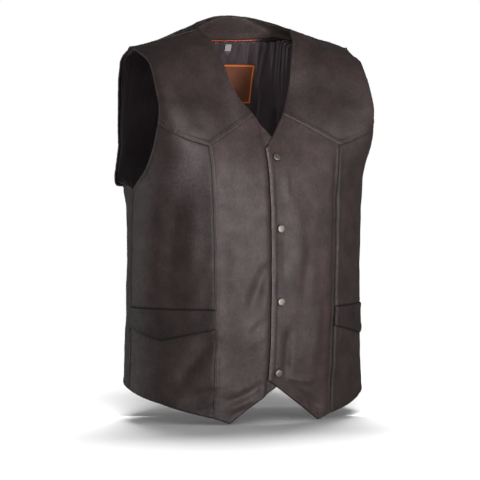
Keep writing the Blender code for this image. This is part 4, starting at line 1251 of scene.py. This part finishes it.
def floor():
    """Pale floor: half discs of rings before and behind the vest, which fade to plain white light far out."""
    material, tree, shader = new_material("matte_white_paper")
    tree.nodes.remove(shader)
    where = add(tree, "ShaderNodeTexCoord").outputs["Object"]
    reach = add(tree, "ShaderNodeVectorMath", where, operation="LENGTH").outputs["Value"]
    fade = add(tree, "ShaderNodeMapRange", interpolation_type="SMOOTHSTEP", Value=reach,
               From_Min=PAPER_END[0], From_Max=PAPER_END[1]).outputs["Result"]
    paper = add(tree, "ShaderNodeBsdfDiffuse", Color=rgb("#f2f2f2")).outputs[0]
    glow = add(tree, "ShaderNodeEmission", Color=(1, 1, 1, 1), Strength=1.0).outputs[0]
    both = add(tree, "ShaderNodeMixShader", fade, paper, glow).outputs[0]
    put(tree.nodes["Material Output"], Surface=both)
    radius = np.linspace(0, FLOOR_REACH, FLOOR_RINGS + 1)[1:]
    for name, way in (("floor_before", -1), ("floor_behind", 1)):
        turn = CAMERA_AZIMUTH + way * math.pi / 2 + math.pi * np.linspace(-.5, .5, FLOOR_TURNS)
        x, y = np.outer(radius, np.cos(turn)), np.outer(radius, np.sin(turn))
        ring = np.stack([x, y, np.full_like(x, FLOOR_Z)], -1)
        index = numbered(ring)
        a, b = index[:-1], index[1:]
        quads = np.stack([a[:, :-1], b[:, :-1], b[:, 1:], a[:, 1:]], -1).reshape(-1, 4)
        fan = np.stack([np.full(FLOOR_TURNS - 1, index.size), index[0, :-1], index[0, 1:]], -1)
        mesh = bpy.data.meshes.new(name)
        mesh.from_pydata([*ring.reshape(-1, 3).tolist(), (0, 0, FLOOR_Z)], [], quads.tolist() + fan.tolist())
        mesh.materials.append(material)
        obj = bpy.data.objects.new(name, mesh)
        obj.visible_diffuse = False
        obj.visible_glossy = False
        obj.visible_shadow = False
        bpy.context.scene.collection.objects.link(obj)


def lamp(name, kind, place_at, aim, **settings):
    """Soft light that faces its aim, and may light some things only."""
    data = bpy.data.lights.new(name, kind)
    data.use_shadow = name not in SHADOWLESS
    for key, value in settings.items():
        setattr(data, key, value)
    obj = bpy.data.objects.new(name, data)
    obj.location = place_at
    obj.rotation_euler = (Vector(aim) - Vector(place_at)).to_track_quat("-Z", "Y").to_euler()
    obj.visible_camera = False
    bpy.context.scene.collection.objects.link(obj)
    if name in LIT_ONLY:
        lit = bpy.data.collections.new("lit_by_" + name)
        for piece in LIT_ONLY[name]:
            lit.objects.link(bpy.data.objects[piece])
        obj.light_linking.receiver_collection = lit


def studio():
    """White surround, a low soft pool of light on the front, fills, and lamps for the neck and the floor."""
    scene = bpy.context.scene
    scene.view_settings.view_transform = "Standard"
    scene.world = bpy.data.worlds.new("studio")
    scene.world.use_nodes = True
    tree = scene.world.node_tree
    seen = add(tree, "ShaderNodeLightPath").outputs["Is Camera Ray"]
    light = add(tree, "ShaderNodeMix", Factor=seen, A=SURROUND_LIGHT, B=1.0).outputs["Result"]
    put(tree.nodes["Background"], Strength=light, Color=(1, 1, 1, 1))
    for name, (place_at, aim, watts, radius, cone) in SPOTS.items():
        lamp(name, "SPOT", place_at, aim, energy=watts, shadow_soft_size=radius, spot_size=math.radians(cone),
             spot_blend=1.0)
    for name, (place_at, aim, watts, wide, tall) in SOFT_BOXES.items():
        lamp(name, "AREA", place_at, aim, energy=watts, shape="RECTANGLE", size=wide, size_y=tall)


def camera():
    """Camera at the photo's viewing angle."""
    data = bpy.data.cameras.new("camera")
    obj = bpy.data.objects.new("camera", data)
    bpy.context.scene.collection.objects.link(obj)
    level = math.cos(CAMERA_ELEVATION)
    back = Vector((math.sin(CAMERA_AZIMUTH) * level, -math.cos(CAMERA_AZIMUTH) * level,
                   math.sin(CAMERA_ELEVATION)))
    obj.location = CAMERA_AIM + CAMERA_DISTANCE * back
    obj.rotation_euler = (-back).to_track_quat("-Z", "Y").to_euler()
    data.sensor_width = SENSOR
    data.lens = SENSOR * CAMERA_DISTANCE / (IMAGE * PIXEL)
    data.shift_x = (IMAGE / 2 - AIM_PIXEL[0]) / IMAGE
    data.shift_y = (AIM_PIXEL[1] - IMAGE / 2) / IMAGE
    bpy.context.scene.camera = obj


back_leather()
for word, side in (("left", 1), ("right", -1)):
    front_leather(word, side)
    front_lining(word, side)
back_lining()
neck_facing()
neck_piping()
tag("label_cloth", "label", LABEL_CLOTH, LABEL_X, LABEL_Z, LABEL_GRID, LABEL_CURL, LABEL_LINE)
tag("size_tab_cloth", "size_tab", TAB_CLOTH, TAB_X, TAB_Z, TAB_GRID, TAB_CURL)
snaps()
floor()
studio()
camera()
